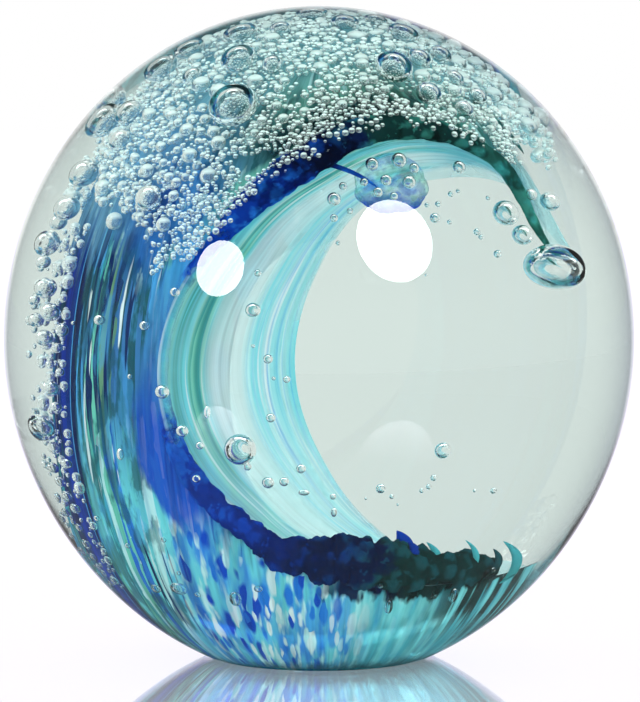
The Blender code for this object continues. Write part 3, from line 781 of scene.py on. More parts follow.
def ball_mesh():
    """The ball with its polished foot, turned from its profile."""
    rows = [(FOOT_RADIUS - FOOT_BEVEL, 0.0)]
    for turn in BEVEL_TURNS:
        inset, height = 1.0 - math.sin(turn), 1.0 - math.cos(turn)
        rows.append((FOOT_RADIUS - FOOT_BEVEL * inset, FOOT_BEVEL * height))
    half = BALL_RINGS // 2
    turns = [0.5 * math.pi * k / half for k in range(half)]
    heights = [mix(GIRTH_HEIGHT, FOOT_BEVEL, math.cos(turn)) for turn in turns]
    rows += [(ball_radius(height), height) for height in heights]
    rows += [
        (BALL_RADIUS * math.cos(turn), mix(GIRTH_HEIGHT, CROWN_HEIGHT, math.sin(turn))) for turn in turns
    ]
    points = [Vector((0.0, 0.0, 0.0)), Vector((0.0, 0.0, CROWN_HEIGHT))]
    for radius, height in rows:
        points += [Vector((radius * x, radius * y, height)) for x, y in circle(BALL_STEPS)]
    faces = net(BALL_STEPS, BALL_STEPS, len(rows) - 1, 2)
    last = len(points) - BALL_STEPS
    for k in range(BALL_STEPS):
        after = (k + 1) % BALL_STEPS
        faces += [(0, 2 + after, 2 + k), (1, last + k, last + after)]
    return new_mesh("glass_ball", points, faces)


make_object("glass_ball", ball_mesh(), painted("clear_glass", ball_glass), ("clear_casing", "inner_gather"))

# The wave's skin, lining and core

SKIN_GRID = (480, 160)
FACE_GRID = (400, 70)
CORE_GRID = (200, 50)
FOOT_GRID = (120, 12)
FLOOR_LIFT = 0.4 * MM
CORE_DEPTH = 0.5
LINING_RADIUS = 14.0
FLOW_RADIUS = HEART_RADIUS / MM
NUMBERS = (("level", "value"), ("angle", "value"), ("share", "value"), ("flow", "vector"))
BACK_TRAILS = (
    ("back_trail_shore", -50.0), ("back_trail_blue", -36.0), ("back_trail_jade", -20.0),
    ("back_trail_cobalt", -4.0), ("back_trail_navy", 12.0), ("back_trail_teal", 30.0),
    ("back_trail_azure", 50.0), ("back_trail_aqua", 72.0), ("back_trail_sky", 96.0),
    ("back_trail_ice", 181.0),
)
FACE_TRAILS = (
    ("face_trail_teal", 0.16), ("face_trail_jade", 0.30), ("face_trail_aqua", 0.45),
    ("face_trail_pale", 0.62), ("face_trail_turquoise", 0.80), ("face_trail_ice", 1.01),
)


def turn_of(unit):
    """Where a point lies round the heart's upright middle, in degrees: 0 left, 90 at the rear."""
    return math.degrees(math.atan2(unit[1], -unit[0]))


def above_foot(unit):
    point = place(*unit)
    point.z = max(point.z, FLOOR_LIFT)
    return point


def sheet_spot(x, y, depth=0.0):
    """A place on the skin, and the numbers that its material reads: how high it is, where it is round
    the curl, and its coordinates along the strands, in mm."""
    angle = mix(WALL_START, WALL_END, x)
    unit = skin_spot(angle, y, depth)
    turn = math.radians(turn_of(unit))
    flow = (FLOW_RADIUS * math.cos(turn), FLOW_RADIUS * math.sin(turn), unit[2] * EGG_SLOPE / MM)
    return above_foot(unit), {"level": unit[2], "angle": angle, "share": y, "flow": flow}


def lining_spot(x, y):
    """A place on the curl's wall, and the numbers that its material reads."""
    angle = mix(WALL_START, WALL_END, x)
    unit = face_spot(angle, y)
    flow = (unit[1] * FLOW_RADIUS, 0.0, math.radians(angle) * LINING_RADIUS)
    return above_foot(unit), {"share": y, "angle": angle, "flow": flow}


def foot_spot(x, y):
    """A place on the disc under the sea, whose streaks run to its middle."""
    turn = 2.0 * math.pi * x
    reach = HEART_FOOT * y
    point = Vector((HEART_SHIFT - reach * math.cos(turn), reach * math.sin(turn), FLOOR_LIFT))
    low = (FOOT_LEVEL * EGG_SLOPE - HEART_FOOT * (1.0 - y)) / MM
    flow = (FLOW_RADIUS * math.cos(turn), FLOW_RADIUS * math.sin(turn), low)
    return point, {"level": FOOT_LEVEL, "angle": 270.0, "share": 0.5, "flow": flow}


def skin_owner(face):
    """The CAD node that has a face of the skin."""
    u, v, w = unplace(face.center)
    if w < SEA_LEVEL:
        return "sea_base"
    if w > CREST_LEVEL:
        return "crest_cap_blue" if face.center.x < CREST_SPLIT else "crest_cap_jade"
    turn = turn_of((u, v))
    return next(name for name, end in BACK_TRAILS if turn < end)


def lining_owner(face):
    """The CAD node that has a face of the lining."""
    share = (face.index // FACE_GRID[0] + 0.5) / FACE_GRID[1]
    return next(name for name, end in FACE_TRAILS if share < end)


def part_of(whole, name, faces):
    """The part of a mesh with these faces, with the numbers that the material reads."""
    kept = [whole.polygons[face].vertices for face in faces]
    used = sorted({index for corners in kept for index in corners})
    moved = {index: new for new, index in enumerate(used)}
    faces = [tuple(moved[index] for index in corners) for corners in kept]
    numbers = {}
    for key, kind in NUMBERS:
        if key in whole.attributes:
            layer = whole.attributes[key].data
            numbers[key] = [getattr(layer[index], kind) for index in used]
    return new_mesh(name, [whole.vertices[index].co for index in used], faces, numbers)


def add_split(whole, owner, material):
    """Adds a mesh in parts, one for each CAD node that owner() names for its faces."""
    shares = {}
    for face in whole.polygons:
        shares.setdefault(owner(face), []).append(face.index)
    for name, faces in sorted(shares.items()):
        make_object(f"{name}_glass", part_of(whole, name, faces), material, name)
    bpy.data.meshes.remove(whole)


skin_material = painted("wave_skin_glass", wave_skin_glass)
face_material = painted("wave_face_glass", wave_face_glass)
add_split(grid("skin", *SKIN_GRID, sheet_spot), skin_owner, skin_material)
add_split(grid("lining", *FACE_GRID, lining_spot), lining_owner, face_material)
foot = grid("foot", *FOOT_GRID, foot_spot)
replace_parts(make_object("sea_base_foot", foot, skin_material, slot="sea_base"), "sea_base")
core = grid("core", *CORE_GRID, lambda x, y: sheet_spot(x, y, CORE_DEPTH))
make_object("wave_core_glass", core, painted("core_glass", core_glass), "wave_core")

# The camera, which the marks below on the photograph need too

VIEW_ELEVATION = math.radians(4.5)
VIEW_DISTANCE = 0.49685
VIEW_TARGET = Vector((0.000127, 0.0, 0.0390))
LENS, SENSOR = 200.0, 36.0
PICTURE = (640, 702)
BACKWARD = Vector((0.0, -math.cos(VIEW_ELEVATION), math.sin(VIEW_ELEVATION)))
EYE = VIEW_TARGET + VIEW_DISTANCE * BACKWARD
LOWER_HALF = 43.1 * MM
SIGHT_STEPS, SIGHT_STEP = 400, 0.15 * MM


def sight(px, py):
    """The direction in which a pixel of the photograph looks."""
    ahead = (VIEW_TARGET - EYE).normalized()
    right = Vector((1.0, 0.0, 0.0))
    up = right.cross(ahead)
    focal = LENS * PICTURE[1] / SENSOR
    return (focal * ahead + (px - PICTURE[0] / 2) * right + (PICTURE[1] / 2 - py) * up).normalized()


def times(first, second):
    """Two vectors multiplied number by number."""
    return Vector(a * b for a, b in zip(first, second))


def ball_hit(origin, direction):
    """Where a line enters the ball, taken as two half ellipsoids, and the ball's normal there."""
    middle = Vector((0.0, 0.0, GIRTH_HEIGHT))
    best = None
    for half, sign in ((CROWN_HEIGHT - GIRTH_HEIGHT, 1.0), (LOWER_HALF, -1.0)):
        squeeze = Vector((1.0 / BALL_RADIUS, 1.0 / BALL_RADIUS, 1.0 / half))
        start, run = times(origin - middle, squeeze), times(direction, squeeze)
        square, twice, rest = run.dot(run), 2.0 * run.dot(start), start.dot(start) - 1.0
        inside = twice * twice - 4.0 * square * rest
        if inside < 0.0:
            continue
        point = origin + direction * ((-twice - math.sqrt(inside)) / (2.0 * square))
        if (point.z - GIRTH_HEIGHT) * sign >= 0.0:
            normal = Vector(a * b * b for a, b in zip(point - middle, squeeze)).normalized()
            best = (point, normal)
    return best


def inside_line(px, py):
    """The line on which a pixel looks inside the glass."""
    direction = sight(px, py)
    point, normal = ball_hit(EYE, direction)
    turned = -normal.dot(direction)
    bent = math.sqrt(1.0 - (1.0 - turned * turned) / GLASS_INDEX**2)
    return point, (direction / GLASS_INDEX + (turned / GLASS_INDEX - bent) * normal).normalized()


def seen_on_heart(px, py, lift=0.0):
    """The place a lift in mm above the heart's skin which a pixel of the photograph shows, or the
    nearest one where it looks past the heart."""
    point, direction = inside_line(px, py)
    low, nearest = None, None
    for k in range(SIGHT_STEPS):
        spot = point + direction * (SIGHT_STEP * k)
        above = (unplace(spot).length - 1.0) * HEART_RADIUS
        if nearest is None or above < nearest:
            nearest, low = above, spot
        if above <= lift * MM:
            return spot
    return low


def seen_at(px, py, depth):
    """The place at a depth behind the ball's middle which a pixel of the photograph shows."""
    point, direction = inside_line(px, py)
    return point + direction * ((depth - point.y) / direction.y)


# The ropes of frit, with the angle at which each ends and its first and middle radius

ROPE_START = 31.0
ROPE_TIP = 1.9 * MM
RIDGE_RADIUS = 1.9 * MM
ROPES = (
    ("crest_emerald_band", 103.6, 0.5 * MM, 1.0 * MM),
    ("crest_cobalt_band", 152.5, 1.6 * MM, 1.8 * MM),
    ("left_rim_trail", 186.5, 0.9 * MM, 0.7 * MM),
    ("trough_cobalt_ridge", 237.8, 0.9 * MM, 1.7 * MM),
    ("trough_emerald_ridge", 313.0, 2.8 * MM, 2.8 * MM),
)
ROPE_SIDES = 28
ROPE_STEP = 0.7
CREST_PROUD, ROPE_PROUD, TROUGH_PROUD = -0.75, 0.15, 0.6
ROPE_RISE, CREST_RISE = 0.5, 0.95
LUMP_SIZE, LUMP_DETAIL = 2.1 * MM, 0.7 * MM
LUMP_HEIGHT = 0.3
DRIP_LUMP = 0.3 * MM
DRIP_RISE = 1.0 * MM
DRIP_ASIDE = 0.4 * MM
DRIP_LEVEL = 5
DRIP_TONE = 146.0


def rope_centre(angle, radius):
    """The middle of a rope of a radius, sunk from the rim until its round touches the heart's skin."""
    v = rims(angle)[0]
    rim = polar(angle, v, curl_reach(angle, v))
    turn = math.radians(angle)
    proud = mix(ROPE_PROUD, TROUGH_PROUD, clamp((angle - 205.0) / 40.0))
    in_crest = clamp((150.0 - angle) / 45.0) * clamp((angle - 34.0) / 20.0)
    proud = mix(proud, CREST_PROUD, in_crest)
    rise = mix(ROPE_RISE, CREST_RISE, in_crest)
    sunk = (rise - 1.0) * outward(*rim) - proud * Vector((math.cos(turn), 0.0, math.sin(turn)))
    return place(*rim) + radius * sunk


def lumps(point):
    """How much a lump swells the frit here, from about -1 to 1."""
    coarse = 1.0 - (1.7 * noise.voronoi(point / LUMP_SIZE)[0][0]) ** 2
    fine = 1.0 - (1.7 * noise.voronoi(point / LUMP_DETAIL)[0][0]) ** 2
    return coarse + 0.3 * fine


def rope_mesh(name, start, end, first, middle, last):
    """A lumpy rope of frit along the front rim, with its radius at its start, middle and end. It closes
    where it begins or ends the whole row of ropes."""
    count = max(24, int((end - start) / ROPE_STEP))
    points, angles, proud = [], [], []
    for k in range(count + 1):
        share = k / count
        angle = mix(start, end, share)
        ends = first * (1.0 - share) * (1.0 - 2.0 * share) + last * share * (2.0 * share - 1.0)
        radius = ends + 4.0 * middle * share * (1.0 - share)
        centre = rope_centre(angle, radius)
        along = (rope_centre(angle + 0.5, radius) - rope_centre(angle - 0.5, radius)).normalized()
        side = along.cross(Vector((0.0, 1.0, 0.0))).normalized()
        other = along.cross(side)
        from_start = 8.0 * share if start == ROPE_START else 1.0
        from_end = 8.0 * (1.0 - share) if end == ROPES[-1][1] else 1.0
        closing = min(1.0, from_start, from_end)
        closed = mix(0.35, 1.0, math.sqrt(max(0.0, 1.0 - (1.0 - closing) ** 2)))
        height = LUMP_HEIGHT * mix(0.4, 1.0, clamp((angle - 150.0) / 60.0))
        for across, up in circle(ROPE_SIDES):
            out = across * side + up * other
            spot = centre + radius * closed * out
            lump = lumps(spot)
            points.append(spot + height * radius * lump * out)
            angles.append(angle)
            # The swelling also goes to the material, which paints the standing lumps lighter as light
            proud.append(lump)
    return tube(name, ROPE_SIDES, points, {"angle": angles, "lump": proud})


def flame_mesh(name, base, tip, bow, width, angle):
    """A curved flame of frit that rises from the ridge to a point."""
    rings, sides = 16, 12
    points, proud = [], []
    for k in range(rings + 1):
        share = k / rings
        centre = base.lerp(tip, share) + 4.0 * share * (1.0 - share) * bow
        radius = 0.5 * width * (1.0 - share) ** 0.75 + 0.02 * MM
        for across, back in circle(sides):
            points.append(centre + radius * Vector((across, 0.6 * back, 0.35 * across)))
            # The lump number rises to the tip, so the frit's painted light makes each flame lighter towards
            # its tip
            proud.append(mix(0.2, 1.6, share))
    return tube(name, sides, points, {"angle": [angle] * len(points), "lump": proud})


def drip_mesh():
    """A drop that hangs from the crest, with a swollen foot."""
    low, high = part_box("lip_drip")
    middle, half = 0.5 * (low + high), 0.5 * (high - low)
    ways, faces = ball_of_air(DRIP_LEVEL)
    points = []
    for way in ways:
        x, y, z = way
        swollen = 1.25 - 0.25 * z
        aside = 1.5 * swollen * half.x * x - DRIP_ASIDE
        spot = middle + Vector((aside, swollen * half.y * y, 1.1 * half.z * z + DRIP_RISE))
        points.append(spot + DRIP_LUMP * lumps(0.7 * spot) * way.normalized())
    proud = [1.0 - 0.5 * (point.z - low.z) / (high.z - low.z) for point in points]
    return new_mesh("lip_drip", points, faces, {"angle": [DRIP_TONE] * len(points), "lump": proud})


frit_material = painted("frit_glass", frit_glass)
start = ROPE_START
next_radii = [row[2] for row in ROPES[1:]] + [ROPE_TIP]
for (name, end, first, middle), last in zip(ROPES, next_radii):
    make_object(f"{name}_frit", rope_mesh(name, start, end, first, middle, last), frit_material, name)
    start = end
make_object("lip_drip_glass", drip_mesh(), painted("drip_glass", drip_glass), "lip_drip")

# Flames on the trough's ridge: angle about the curl, base and tip in the photograph, width in mm, and
# the angle whose colour they take
FLAMES = (
    (310.0, 509, 580, 504, 541, 2.1, 345.0), (306.0, 489, 578, 494, 549, 1.7, 300.0),
    (301.0, 468, 574, 466, 540, 1.2, 345.0), (296.0, 448, 572, 447, 553, 1.6, 300.0),
    (290.0, 430, 570, 427, 542, 1.7, 345.0), (284.0, 408, 566, 411, 550, 1.5, 300.0),
    (280.0, 392, 562, 397, 530, 3.4, 212.0), (276.0, 404, 566, 409, 541, 2.6, 212.0),
    (272.0, 366, 558, 362, 539, 2.4, 240.0),
)
for index, (angle, base_x, base_y, tip_x, tip_y, width, tone) in enumerate(FLAMES):
    depth = rope_centre(angle, RIDGE_RADIUS).y
    base, tip = seen_at(base_x, base_y, depth), seen_at(tip_x, tip_y, depth)
    bow = Vector((0.25 * (tip.z - base.z), 0.0, 0.0))
    flame = flame_mesh(f"ridge_flame_{index + 1}", base, tip, bow, width * MM, tone)
    make_object(f"ridge_flame_{index + 1}", flame, frit_material, slot="trough_emerald_ridge")

# Two thin strands: one that trails from the cobalt band to the drop, one on the crest beside the lip
depth = rope_centre(115.0, RIDGE_RADIUS).y
trail = (seen_at(318, 162, depth), seen_at(380, 190, depth))
streak = (seen_on_heart(468, 104, 0.2), seen_on_heart(524, 154, 0.2))
for name, ends, width, tone, band in (
    ("crest_trail", trail, 1.0, 130.0, "crest_cobalt_band"),
    ("crest_streak", streak, 1.5, 60.0, "crest_emerald_band"),
):
    strand = flame_mesh(name, *ends, Vector((0.5 * MM, 0.0, 0.3 * MM)), width * MM, tone)
    make_object(name, strand, frit_material, slot=band)

# Air bubbles

CELL = 2.0 * MM
LARGEST = 3.0 * MM
BUBBLE_ROOM, SEEN_ROOM = 1.04, 0.9


class Bubbles:
    """Bubbles that keep clear of one another, in cells by which their neighbours are found."""

    def __init__(self):
        self.cells = {}
        self.kept = []

    def cell(self, spot):
        return tuple(int(math.floor(c / CELL)) for c in spot)

    def free(self, spot, radius, room=BUBBLE_ROOM):
        reach = int(math.ceil((radius + LARGEST) / CELL))
        middle = self.cell(spot)
        for step in itertools.product(range(-reach, reach + 1), repeat=3):
            key = tuple(a + b for a, b in zip(middle, step))
            for other, size in self.cells.get(key, ()):
                if (other - spot).length < room * (radius + size):
                    return False
        return True

    def add(self, spot, radius, stretch=(1.0, 1.0, 1.0)):
        self.cells.setdefault(self.cell(spot), []).append((spot, radius * max(stretch)))
        self.kept.append((spot, radius, stretch))

    def try_add(self, spot, radius):
        if self.free(spot, radius):
            self.add(spot, radius)


def bubble_mesh(name, kept, level):
    """One mesh of all these bubbles."""
    shape, shape_faces = ball_of_air(level)
    points, faces = [], []
    for spot, radius, stretch in kept:
        base = len(points)
        scale = Vector(stretch) * radius
        points += [spot + times(point, scale) for point in shape]
        faces += [tuple(base + index for index in face) for face in shape_faces]
    return new_mesh(name, points, faces)


bubbles = Bubbles()
dice = random.Random(7)
SCREEN_SCALE = 11.8  # pixels of the photograph to a mm of heart, as the ball magnifies it
MIDDLE, HALF_WIDTH = (319.0, 340.0), 315.0  # the ball in the photograph, which squeezes what is near its edge

# Marks on the photograph: centre and radii in pixels, and how far above the heart's skin, in mm
SINGLE_BUBBLES = (
    (557, 267, 33, 25, 0.0), (506, 213, 14, 14, 0.0), (523, 235, 11.5, 11, 0.0), (240, 449, 20, 20, 0.0),
    (443, 449.6, 10, 10, 0.0), (253, 310, 9.5, 9, 0.0), (459, 167, 7, 7, 0.0), (389, 608, 5, 9, 0.2),
    (454, 597, 5, 9, 0.2), (381, 586, 4, 4, 0.2), (494, 571, 3, 3, 0.4), (99.6, 320, 6, 6, 0.3),
    (144.6, 325.7, 6, 6, 0.3), (162, 391, 8.5, 8.5, 0.3), (257.7, 273, 4.5, 4.5, 0.2),
    (268, 359, 6, 6, 0.0), (286.7, 379, 4.5, 4.5, 0.0), (273.6, 378, 2.5, 2.5, 0.0),
    (270.7, 417, 6, 6, 0.0), (182, 430, 7.5, 7.5, 0.3), (207, 411, 4, 8, 0.0), (247.5, 466, 5, 5, 1.4),
    (199.7, 444.6, 5, 5, 0.2), (268, 482, 7.5, 7.5, 0.0), (284, 481, 6, 6, 0.0), (301, 468, 6, 6, 0.0),
    (304, 492, 7, 4, 0.0), (120, 453, 4, 7, 0.3), (130, 376, 3, 3, 0.3), (73.5, 323, 2.2, 2.2, 0.2),
    (253, 346, 2.5, 2.5, 0.0), (175, 292, 6, 6, 0.2), (381, 488, 6, 6, 0.0), (392, 496, 3, 3, 0.0),
    (422, 490, 3, 3, 0.0), (429, 486, 3.5, 3.5, 0.0), (434, 477, 4, 4, 0.0), (494, 490, 3.5, 3.5, 0.0),
    (475, 490, 2, 2, 0.0), (333, 496, 4, 4, 0.0), (334, 512, 4, 6, 0.0), (398, 504, 1.7, 1.7, 0.0),
    (366, 498, 1.7, 1.7, 0.0), (334, 199, 8.5, 8.5, 0.0), (343, 186, 5, 5, 0.2), (334, 218, 5, 5, 0.0),
    (350, 211, 4, 4, 0.0), (435, 218, 6, 6, 0.0), (427, 205, 3, 3, 0.0), (438, 204, 3.5, 3.5, 0.0),
    (451, 194, 3.5, 3.5, 0.0), (458, 191, 2.5, 2.5, 0.0), (449.6, 222, 3, 3, 0.0), (477, 232, 4, 4, 0.0),
    (481, 237, 3, 3, 0.0), (488, 198, 2.5, 2.5, 0.0), (497.6, 254, 4.5, 4.5, 0.0),
    (531, 194.6, 6, 6, 0.2), (550, 201.6, 9, 9, 0.2), (445, 133, 5, 5, 0.2), (338, 243, 3, 3, 0.0),
    (426, 275, 1.7, 1.7, 0.0), (155, 590, 5, 5, 0.3), (163, 540, 3, 3, 0.3), (178, 574, 2.4, 2.4, 0.2),
    (197, 596, 3.5, 3, 0.2), (235, 600, 7, 9, 0.2), (178, 590, 9, 7, 0.2), (258, 590, 5, 4, 0.2),
    (372, 164, 8, 8, 0.0), (386, 180, 7, 7, 0.0), (399, 160, 9, 9, 0.0), (409, 182, 8, 8, 0.0),
    (378, 192, 6, 6, 0.0), (394, 196, 5, 5, 0.0), (364, 182, 5, 5, 0.0), (414, 168, 6, 6, 0.0),
    (96, 518, 3, 3, 0.2), (127, 546, 3, 3, 0.3), (100, 545, 2.5, 2.5, 0.3), (196, 478, 5, 5, 0.2),
)
ROUND_THE_FROTH = (
    (233, 104, 27, 24, 0.3), (238, 58, 17, 15, 0.4), (224, 74, 11, 11, 0.6), (240, 32, 14, 10, 0.5),
    (149, 198, 15, 15, 0.3), (102, 120, 14, 14, 0.8), (128, 112, 11, 11, 0.8), (160, 67, 13, 12, 0.8),
    (189, 48, 12, 9, 0.8), (192, 76, 9, 9, 0.8), (83, 173, 12, 12, 0.6), (93, 150, 11, 11, 0.6),
    (66, 208, 11, 11, 1.0), (46, 243, 11, 12, 2.0), (45, 288, 10, 10, 2.0), (312, 13, 12, 7, 0.4),
    (272, 64, 10, 10, 0.6), (394, 66, 19, 17, 0.3), (419, 58, 11, 10, 0.5), (429, 93, 13, 12, 0.3),
    (403, 32, 13, 10, 0.5), (464, 109, 9, 9, 0.4), (441, 54, 9, 9, 0.6), (345, 22, 12, 9, 0.4),
    (120, 140, 10, 10, 0.6), (140, 85, 11, 11, 0.8), (110, 98, 9, 9, 0.8), (210, 42, 9, 8, 0.7),
    (280, 28, 9, 7, 0.6), (376, 20, 9, 7, 0.5), (455, 78, 8, 8, 0.6), (478, 96, 8, 8, 0.5),
    (43, 262, 6, 6, 2.0), (58, 222, 7, 7, 1.4), (62, 240, 6, 6, 1.0), (50, 312, 9, 9, 1.6),
    (36, 320, 7, 7, 2.6), (62, 330, 6, 7, 0.6), (44, 338, 8, 8, 2.0), (57, 348, 5, 5, 0.8),
    (34, 300, 5, 5, 2.8), (54, 296, 5, 5, 1.2), (50, 387, 8, 8, 1.6), (56, 405, 5, 5, 1.0),
    (40, 426, 14, 13, 1.8), (58, 418, 6, 6, 0.8), (53, 446, 6, 6, 1.2), (47, 452, 5, 5, 1.8),
    (52, 466, 5, 5, 1.4), (66, 462, 5, 5, 0.6), (59, 480, 5, 5, 1.2), (66, 495, 5, 5, 1.2),
    (74, 508, 5, 5, 1.0), (64, 512, 4, 4, 1.6), (78, 528, 4, 4, 1.2), (85, 545, 5, 5, 1.2),
    (72, 522, 3, 3, 1.6), (92, 558, 4, 4, 1.2), (50, 364, 4, 4, 1.6), (60, 371, 4, 4, 0.8),
)


def seen_bubble(px, py, wide, high, lift):
    """A bubble where the photograph shows one."""
    across, down = (px - MIDDLE[0]) / HALF_WIDTH, (py - MIDDLE[1]) / HALF_WIDTH
    squeeze = across**2 + down**2
    wide *= 1.0 + squeeze * (1.2 * across**2 + 0.3 * down**2)
    high *= 1.0 + squeeze * (0.3 * across**2 + 0.8 * down**2)
    width, height = wide / SCREEN_SCALE, high / SCREEN_SCALE
    radius = max(width, height)
    spot = seen_on_heart(px, py, radius + lift)
    stretch = (width / radius, 0.5 * (width + height) / radius, height / radius)
    if bubbles.free(spot, radius * MM, SEEN_ROOM):
        bubbles.add(spot, radius * MM, stretch)


for row in SINGLE_BUBBLES + ROUND_THE_FROTH:
    seen_bubble(*row)
seen_count = len(bubbles.kept)

FROTH_START, FROTH_END = 46.0, 164.0
MIDDLE_COUNT = 760
FINE_COUNT = 4000
TAIL_COUNT = 390
BAND_COUNT = 900
MARGIN_COUNT = 420
MARGIN_RADII = (0.2, 0.3, 0.4, 0.55, 0.7)
# Down the left margin of the photograph: height, and where the bubbles start and end, in pixels
LEFT_MARGIN = (
    (225, 88, 52), (270, 72, 38), (320, 66, 30), (370, 64, 38), (420, 66, 30), (470, 74, 44),
    (515, 88, 58), (560, 106, 84), (590, 124, 108),
)


def froth_place(radius, depth, start=FROTH_START, end=FROTH_END):
    """A random place for a bubble in the froth, its angle, and its share of the way to the rear."""
    angle = dice.uniform(start, end)
    share = dice.uniform(0.0, 0.98)
    unit = skin_spot(angle, share)
    lift = radius + dice.uniform(0.05 * MM, depth)
    return place(*unit) + lift * outward(*unit), angle, share


def froth_holds(spot, angle):
    """Whether the froth is there, with its ragged ends, and bare patches, more of them by the lip."""
    ragged = 7.0 * noise.noise(spot * 160.0) + 4.0 * noise.noise(spot * 500.0)
    if angle + ragged < FROTH_START + 10.0 or angle + ragged > FROTH_END - 6.0:
        return False
    return noise.noise(spot * 260.0) > mix(0.0, -0.3, clamp((angle - 64.0) / 24.0))


for _ in range(20 * MIDDLE_COUNT):
    if len(bubbles.kept) - seen_count >= MIDDLE_COUNT:
        break
    radius = dice.uniform(0.4, 0.6) * MM if dice.random() < 0.7 else dice.uniform(0.6, 1.0) * MM
    spot, angle, share = froth_place(radius, 1.1 * MM)
    if froth_holds(spot, angle) and share > dice.uniform(0.08, 0.3):
        bubbles.try_add(spot, radius)
for _ in range(TAIL_COUNT):
    radius = dice.uniform(0.18, 0.5) * MM
    spot, angle, share = froth_place(radius, 2.2 * MM, 165.0, 205.0)
    if 0.38 < share < 0.52:
        bubbles.try_add(spot, radius)
middle_end = len(bubbles.kept)
margin_dice = random.Random(11)
for _ in range(MARGIN_COUNT):
    row = margin_dice.uniform(0.0, 1.0) * (len(LEFT_MARGIN) - 1)
    first = LEFT_MARGIN[int(row)]
    last = LEFT_MARGIN[min(int(row) + 1, len(LEFT_MARGIN) - 1)]
    py, inner, outer = (mix(a, b, row - int(row)) for a, b in zip(first, last))
    radius = margin_dice.choice(MARGIN_RADII) * margin_dice.uniform(0.8, 1.2)
    across = margin_dice.uniform(0.0, 1.0) ** 1.4
    spot = seen_on_heart(mix(inner, outer, across), py, radius + 0.2 + 2.2 * across)
    bubbles.try_add(spot, radius * MM)
margin_end = len(bubbles.kept)
for _ in range(BAND_COUNT):
    angle = dice.uniform(66.0, 152.0)
    radius = dice.uniform(0.16, 0.4) * MM
    across = math.radians(dice.uniform(-15.0, 75.0))
    turn = math.radians(angle)
    away = Vector((math.cos(turn), 0.0, math.sin(turn)))
    aside = math.sin(across) * away - math.cos(across) * Vector((0.0, 1.0, 0.0))
    spot = rope_centre(angle, 1.7 * MM) + (2.1 * MM + radius) * aside
    if noise.noise(spot * 300.0) > 0.25 - 0.9 * math.sin(across):
        bubbles.try_add(spot, radius)
for _ in range(8 * FINE_COUNT):
    if len(bubbles.kept) - margin_end >= FINE_COUNT:
        break
    radius = dice.uniform(0.17, 0.36) * MM
    spot, angle, share = froth_place(radius, 1.5 * MM)
    if froth_holds(spot, angle):
        bubbles.try_add(spot, radius)

# The froth's meshes, each within what an exported piece may hold, and how finely they are divided
FINE, COARSE, LARGE = 2, 3, 4
middle_split, fine_split = seen_count + 500, margin_end + 2200
air = painted("air_bubble", bubble_glass, 0.0, 0.0)
# The second number of each froth material is the white painted on the bubbles' tops as a highlight
froth_air = painted("froth_bubble", bubble_glass, 0.05, 0.48)
fine_air = painted("fine_froth_bubble", bubble_glass, 0.08, 0.64)
for name, first, last, level, material in (
    ("froth_fine", margin_end, fine_split, FINE, fine_air),
    ("froth_fine_more", fine_split, None, FINE, fine_air),
    ("froth_margin", middle_end, margin_end, COARSE, froth_air),
    ("froth_coarse", seen_count, middle_split, COARSE, froth_air),
    ("froth_coarse_more", middle_split, middle_end, COARSE, froth_air),
    ("single_bubbles", 0, seen_count, LARGE, air),
):
    mesh = bubble_mesh(name, bubbles.kept[first:last], level)
    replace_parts(make_object(name, mesh, material, slot="crest_froth"), "crest_froth")

# Floor, light and camera

FLOOR_SIZE = 6.0
FLOOR_INDEX = 1.75
SCATTERED = 2.2  # the light that reaches what scatters it inside the ball, to make up for the ball's tint
MATT_WHITE, MATT_MIRRORED = grey(0.95), grey(0.3)


def light_path(paint, *names):
    return [paint.wire("ShaderNodeLightPath", output=name) for name in names]


def floor_paint(paint):
    """Pale and polished: it mirrors like any polish, most at a low angle, and is dimmer where the ball's
    own polish mirrors it."""
    bent, glossy, depth = light_path(paint, "Is Transmission Ray", "Is Glossy Ray", "Diffuse Depth")
    mirrored = glossy.math("SUBTRACT", bent, limit=True)
    colour = blend(mirrored, MATT_WHITE, MATT_MIRRORED)
    matt = paint.wire("ShaderNodeBsdfDiffuse", {"Color": colour})
    gloss = paint.wire("ShaderNodeBsdfAnisotropic", {"Color": FLOOR_GLOSS, "Roughness": 0.02})
    polish = paint.wire("ShaderNodeFresnel", {"IOR": FLOOR_INDEX})
    low_angle = polish.up(0.1, 0.5).math("SUBTRACT", bent, limit=True)
    both = paint.wire("ShaderNodeMixShader", {0: low_angle, 1: matt, 2: gloss})
    extra = depth.math("GREATER_THAN", 0.5) * bent * (SCATTERED - 1.0)
    glow = mirrored.up(0.0, 1.0, 0.14, 0.0) + extra
    return paint.wire(
        "ShaderNodeAddShader", {0: both, 1: paint.wire("ShaderNodeEmission", {"Strength": glow})}
    )


half = 0.5 * FLOOR_SIZE
corners = [(-half, -half, 0.0), (half, -half, 0.0), (half, half, 0.0), (-half, half, 0.0)]
floor = add_object("floor", new_mesh("floor", corners, [(0, 1, 2, 3)]))
floor.data.materials.append(painted("floor_paint", floor_paint))
floor.location.z = -0.05 * MM


# Brightness of the studio by the sine of the elevation, as the glass shows it and as polish mirrors it
SEEN_THROUGH = (
    (-1.0, grey(1.05)), (0.66, grey(1.05)), (0.69, grey(0.15)), (0.73, grey(0.15)), (0.76, grey(4.5)),
    (0.90, grey(4.5)), (0.92, grey(1.05)), (1.0, grey(1.05)),
)
MIRRORED = (
    (-1.0, grey(0.3)), (-0.2, grey(0.9)), (0.0, grey(1.0)), (0.2, grey(1.0)), (0.36, grey(0.25)),
    (1.0, grey(0.15)),
)
SIDES = 0.3


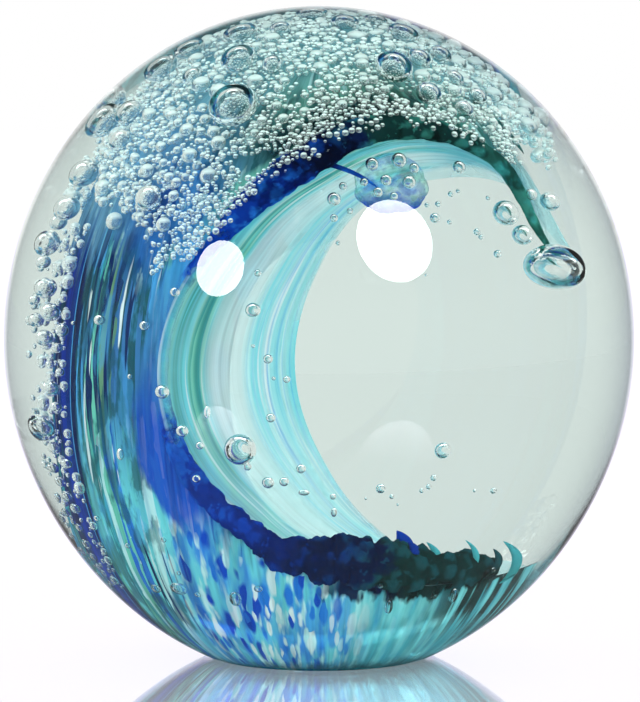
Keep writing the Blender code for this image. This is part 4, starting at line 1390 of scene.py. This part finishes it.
def light_studio():
    """An even white studio. Where polish mirrors it, only the backdrop is white, and the rest is dim; where
    the glass bends it into view, bands overhead are bright and dark; and what the glass inside the ball
    scatters makes up for the ball's own tint, so that its colours show about as they are written."""
    world = bpy.data.worlds.new("studio")
    bpy.context.scene.world = world
    world.use_nodes = True
    paint = Paint(world.node_tree)
    _, back, rise = paint.parts(paint.wire("ShaderNodeTexCoord", output="Generated"))
    bent, seen, diffuse, depth = light_path(
        paint, "Is Transmission Ray", "Is Camera Ray", "Is Diffuse Ray", "Diffuse Depth"
    )
    backdrop = back.smooth(0.92, 0.97, SIDES, 1.0)
    scale = {0: rise.zoned(MIRRORED, -1.0, 1.0), 3: backdrop}
    mirrored = paint.wire("ShaderNodeVectorMath", scale, operation="SCALE")
    scattered = depth.math("GREATER_THAN", 0.5)
    through = blend(scattered, rise.zoned(SEEN_THROUGH, -1.0, 1.0), grey(SCATTERED))
    sky = blend(seen.math("MAXIMUM", diffuse), blend(bent, mirrored, through), grey(1.0))
    background = paint.wire("ShaderNodeBackground", {"Color": sky})
    paint.node("ShaderNodeOutputWorld", {"Surface": background})


light_studio()

# The two soft boxes that the ball mirrors: where in the picture, width in degrees, radiance
SOFT_BOXES = (("soft_box_left", 220, 268, 17.5, 20.0), ("soft_box_right", 395, 240, 27.0, 19.0))
BOX_DISTANCE = 1.6


def add_soft_box(name, px, py, width, radiance):
    """A round lamp where the ball's front mirrors it at a pixel. Only polish shows it."""
    direction = sight(px, py)
    point, normal = ball_hit(EYE, direction)
    away = direction - 2.0 * direction.dot(normal) * normal
    lamp = bpy.data.lights.new(name, "AREA")
    lamp.shape = "DISK"
    lamp.size = 2.0 * BOX_DISTANCE * math.tan(math.radians(0.5 * width))
    lamp.energy = radiance * math.pi * math.pi * (0.5 * lamp.size) ** 2
    box = add_object(name, lamp)
    box.location = point + BOX_DISTANCE * away
    box.rotation_euler = (-away).to_track_quat("-Z", "Y").to_euler()
    box.visible_diffuse = box.visible_transmission = box.visible_camera = False


for row in SOFT_BOXES:
    add_soft_box(*row)

lens = bpy.data.cameras.new("camera")
lens.lens = LENS
lens.sensor_width = SENSOR
camera = add_object("camera", lens)
camera.location = EYE
camera.rotation_euler = (VIEW_TARGET - EYE).to_track_quat("-Z", "Y").to_euler()
bpy.context.scene.camera = camera

scene = bpy.context.scene
scene.view_settings.view_transform = "Standard"
scene.cycles.max_bounces = 24
scene.cycles.transmission_bounces = 24
scene.cycles.glossy_bounces = 8
scene.cycles.diffuse_bounces = 4
scene.cycles.transparent_max_bounces = 32
scene.cycles.sample_clamp_indirect = 6.0
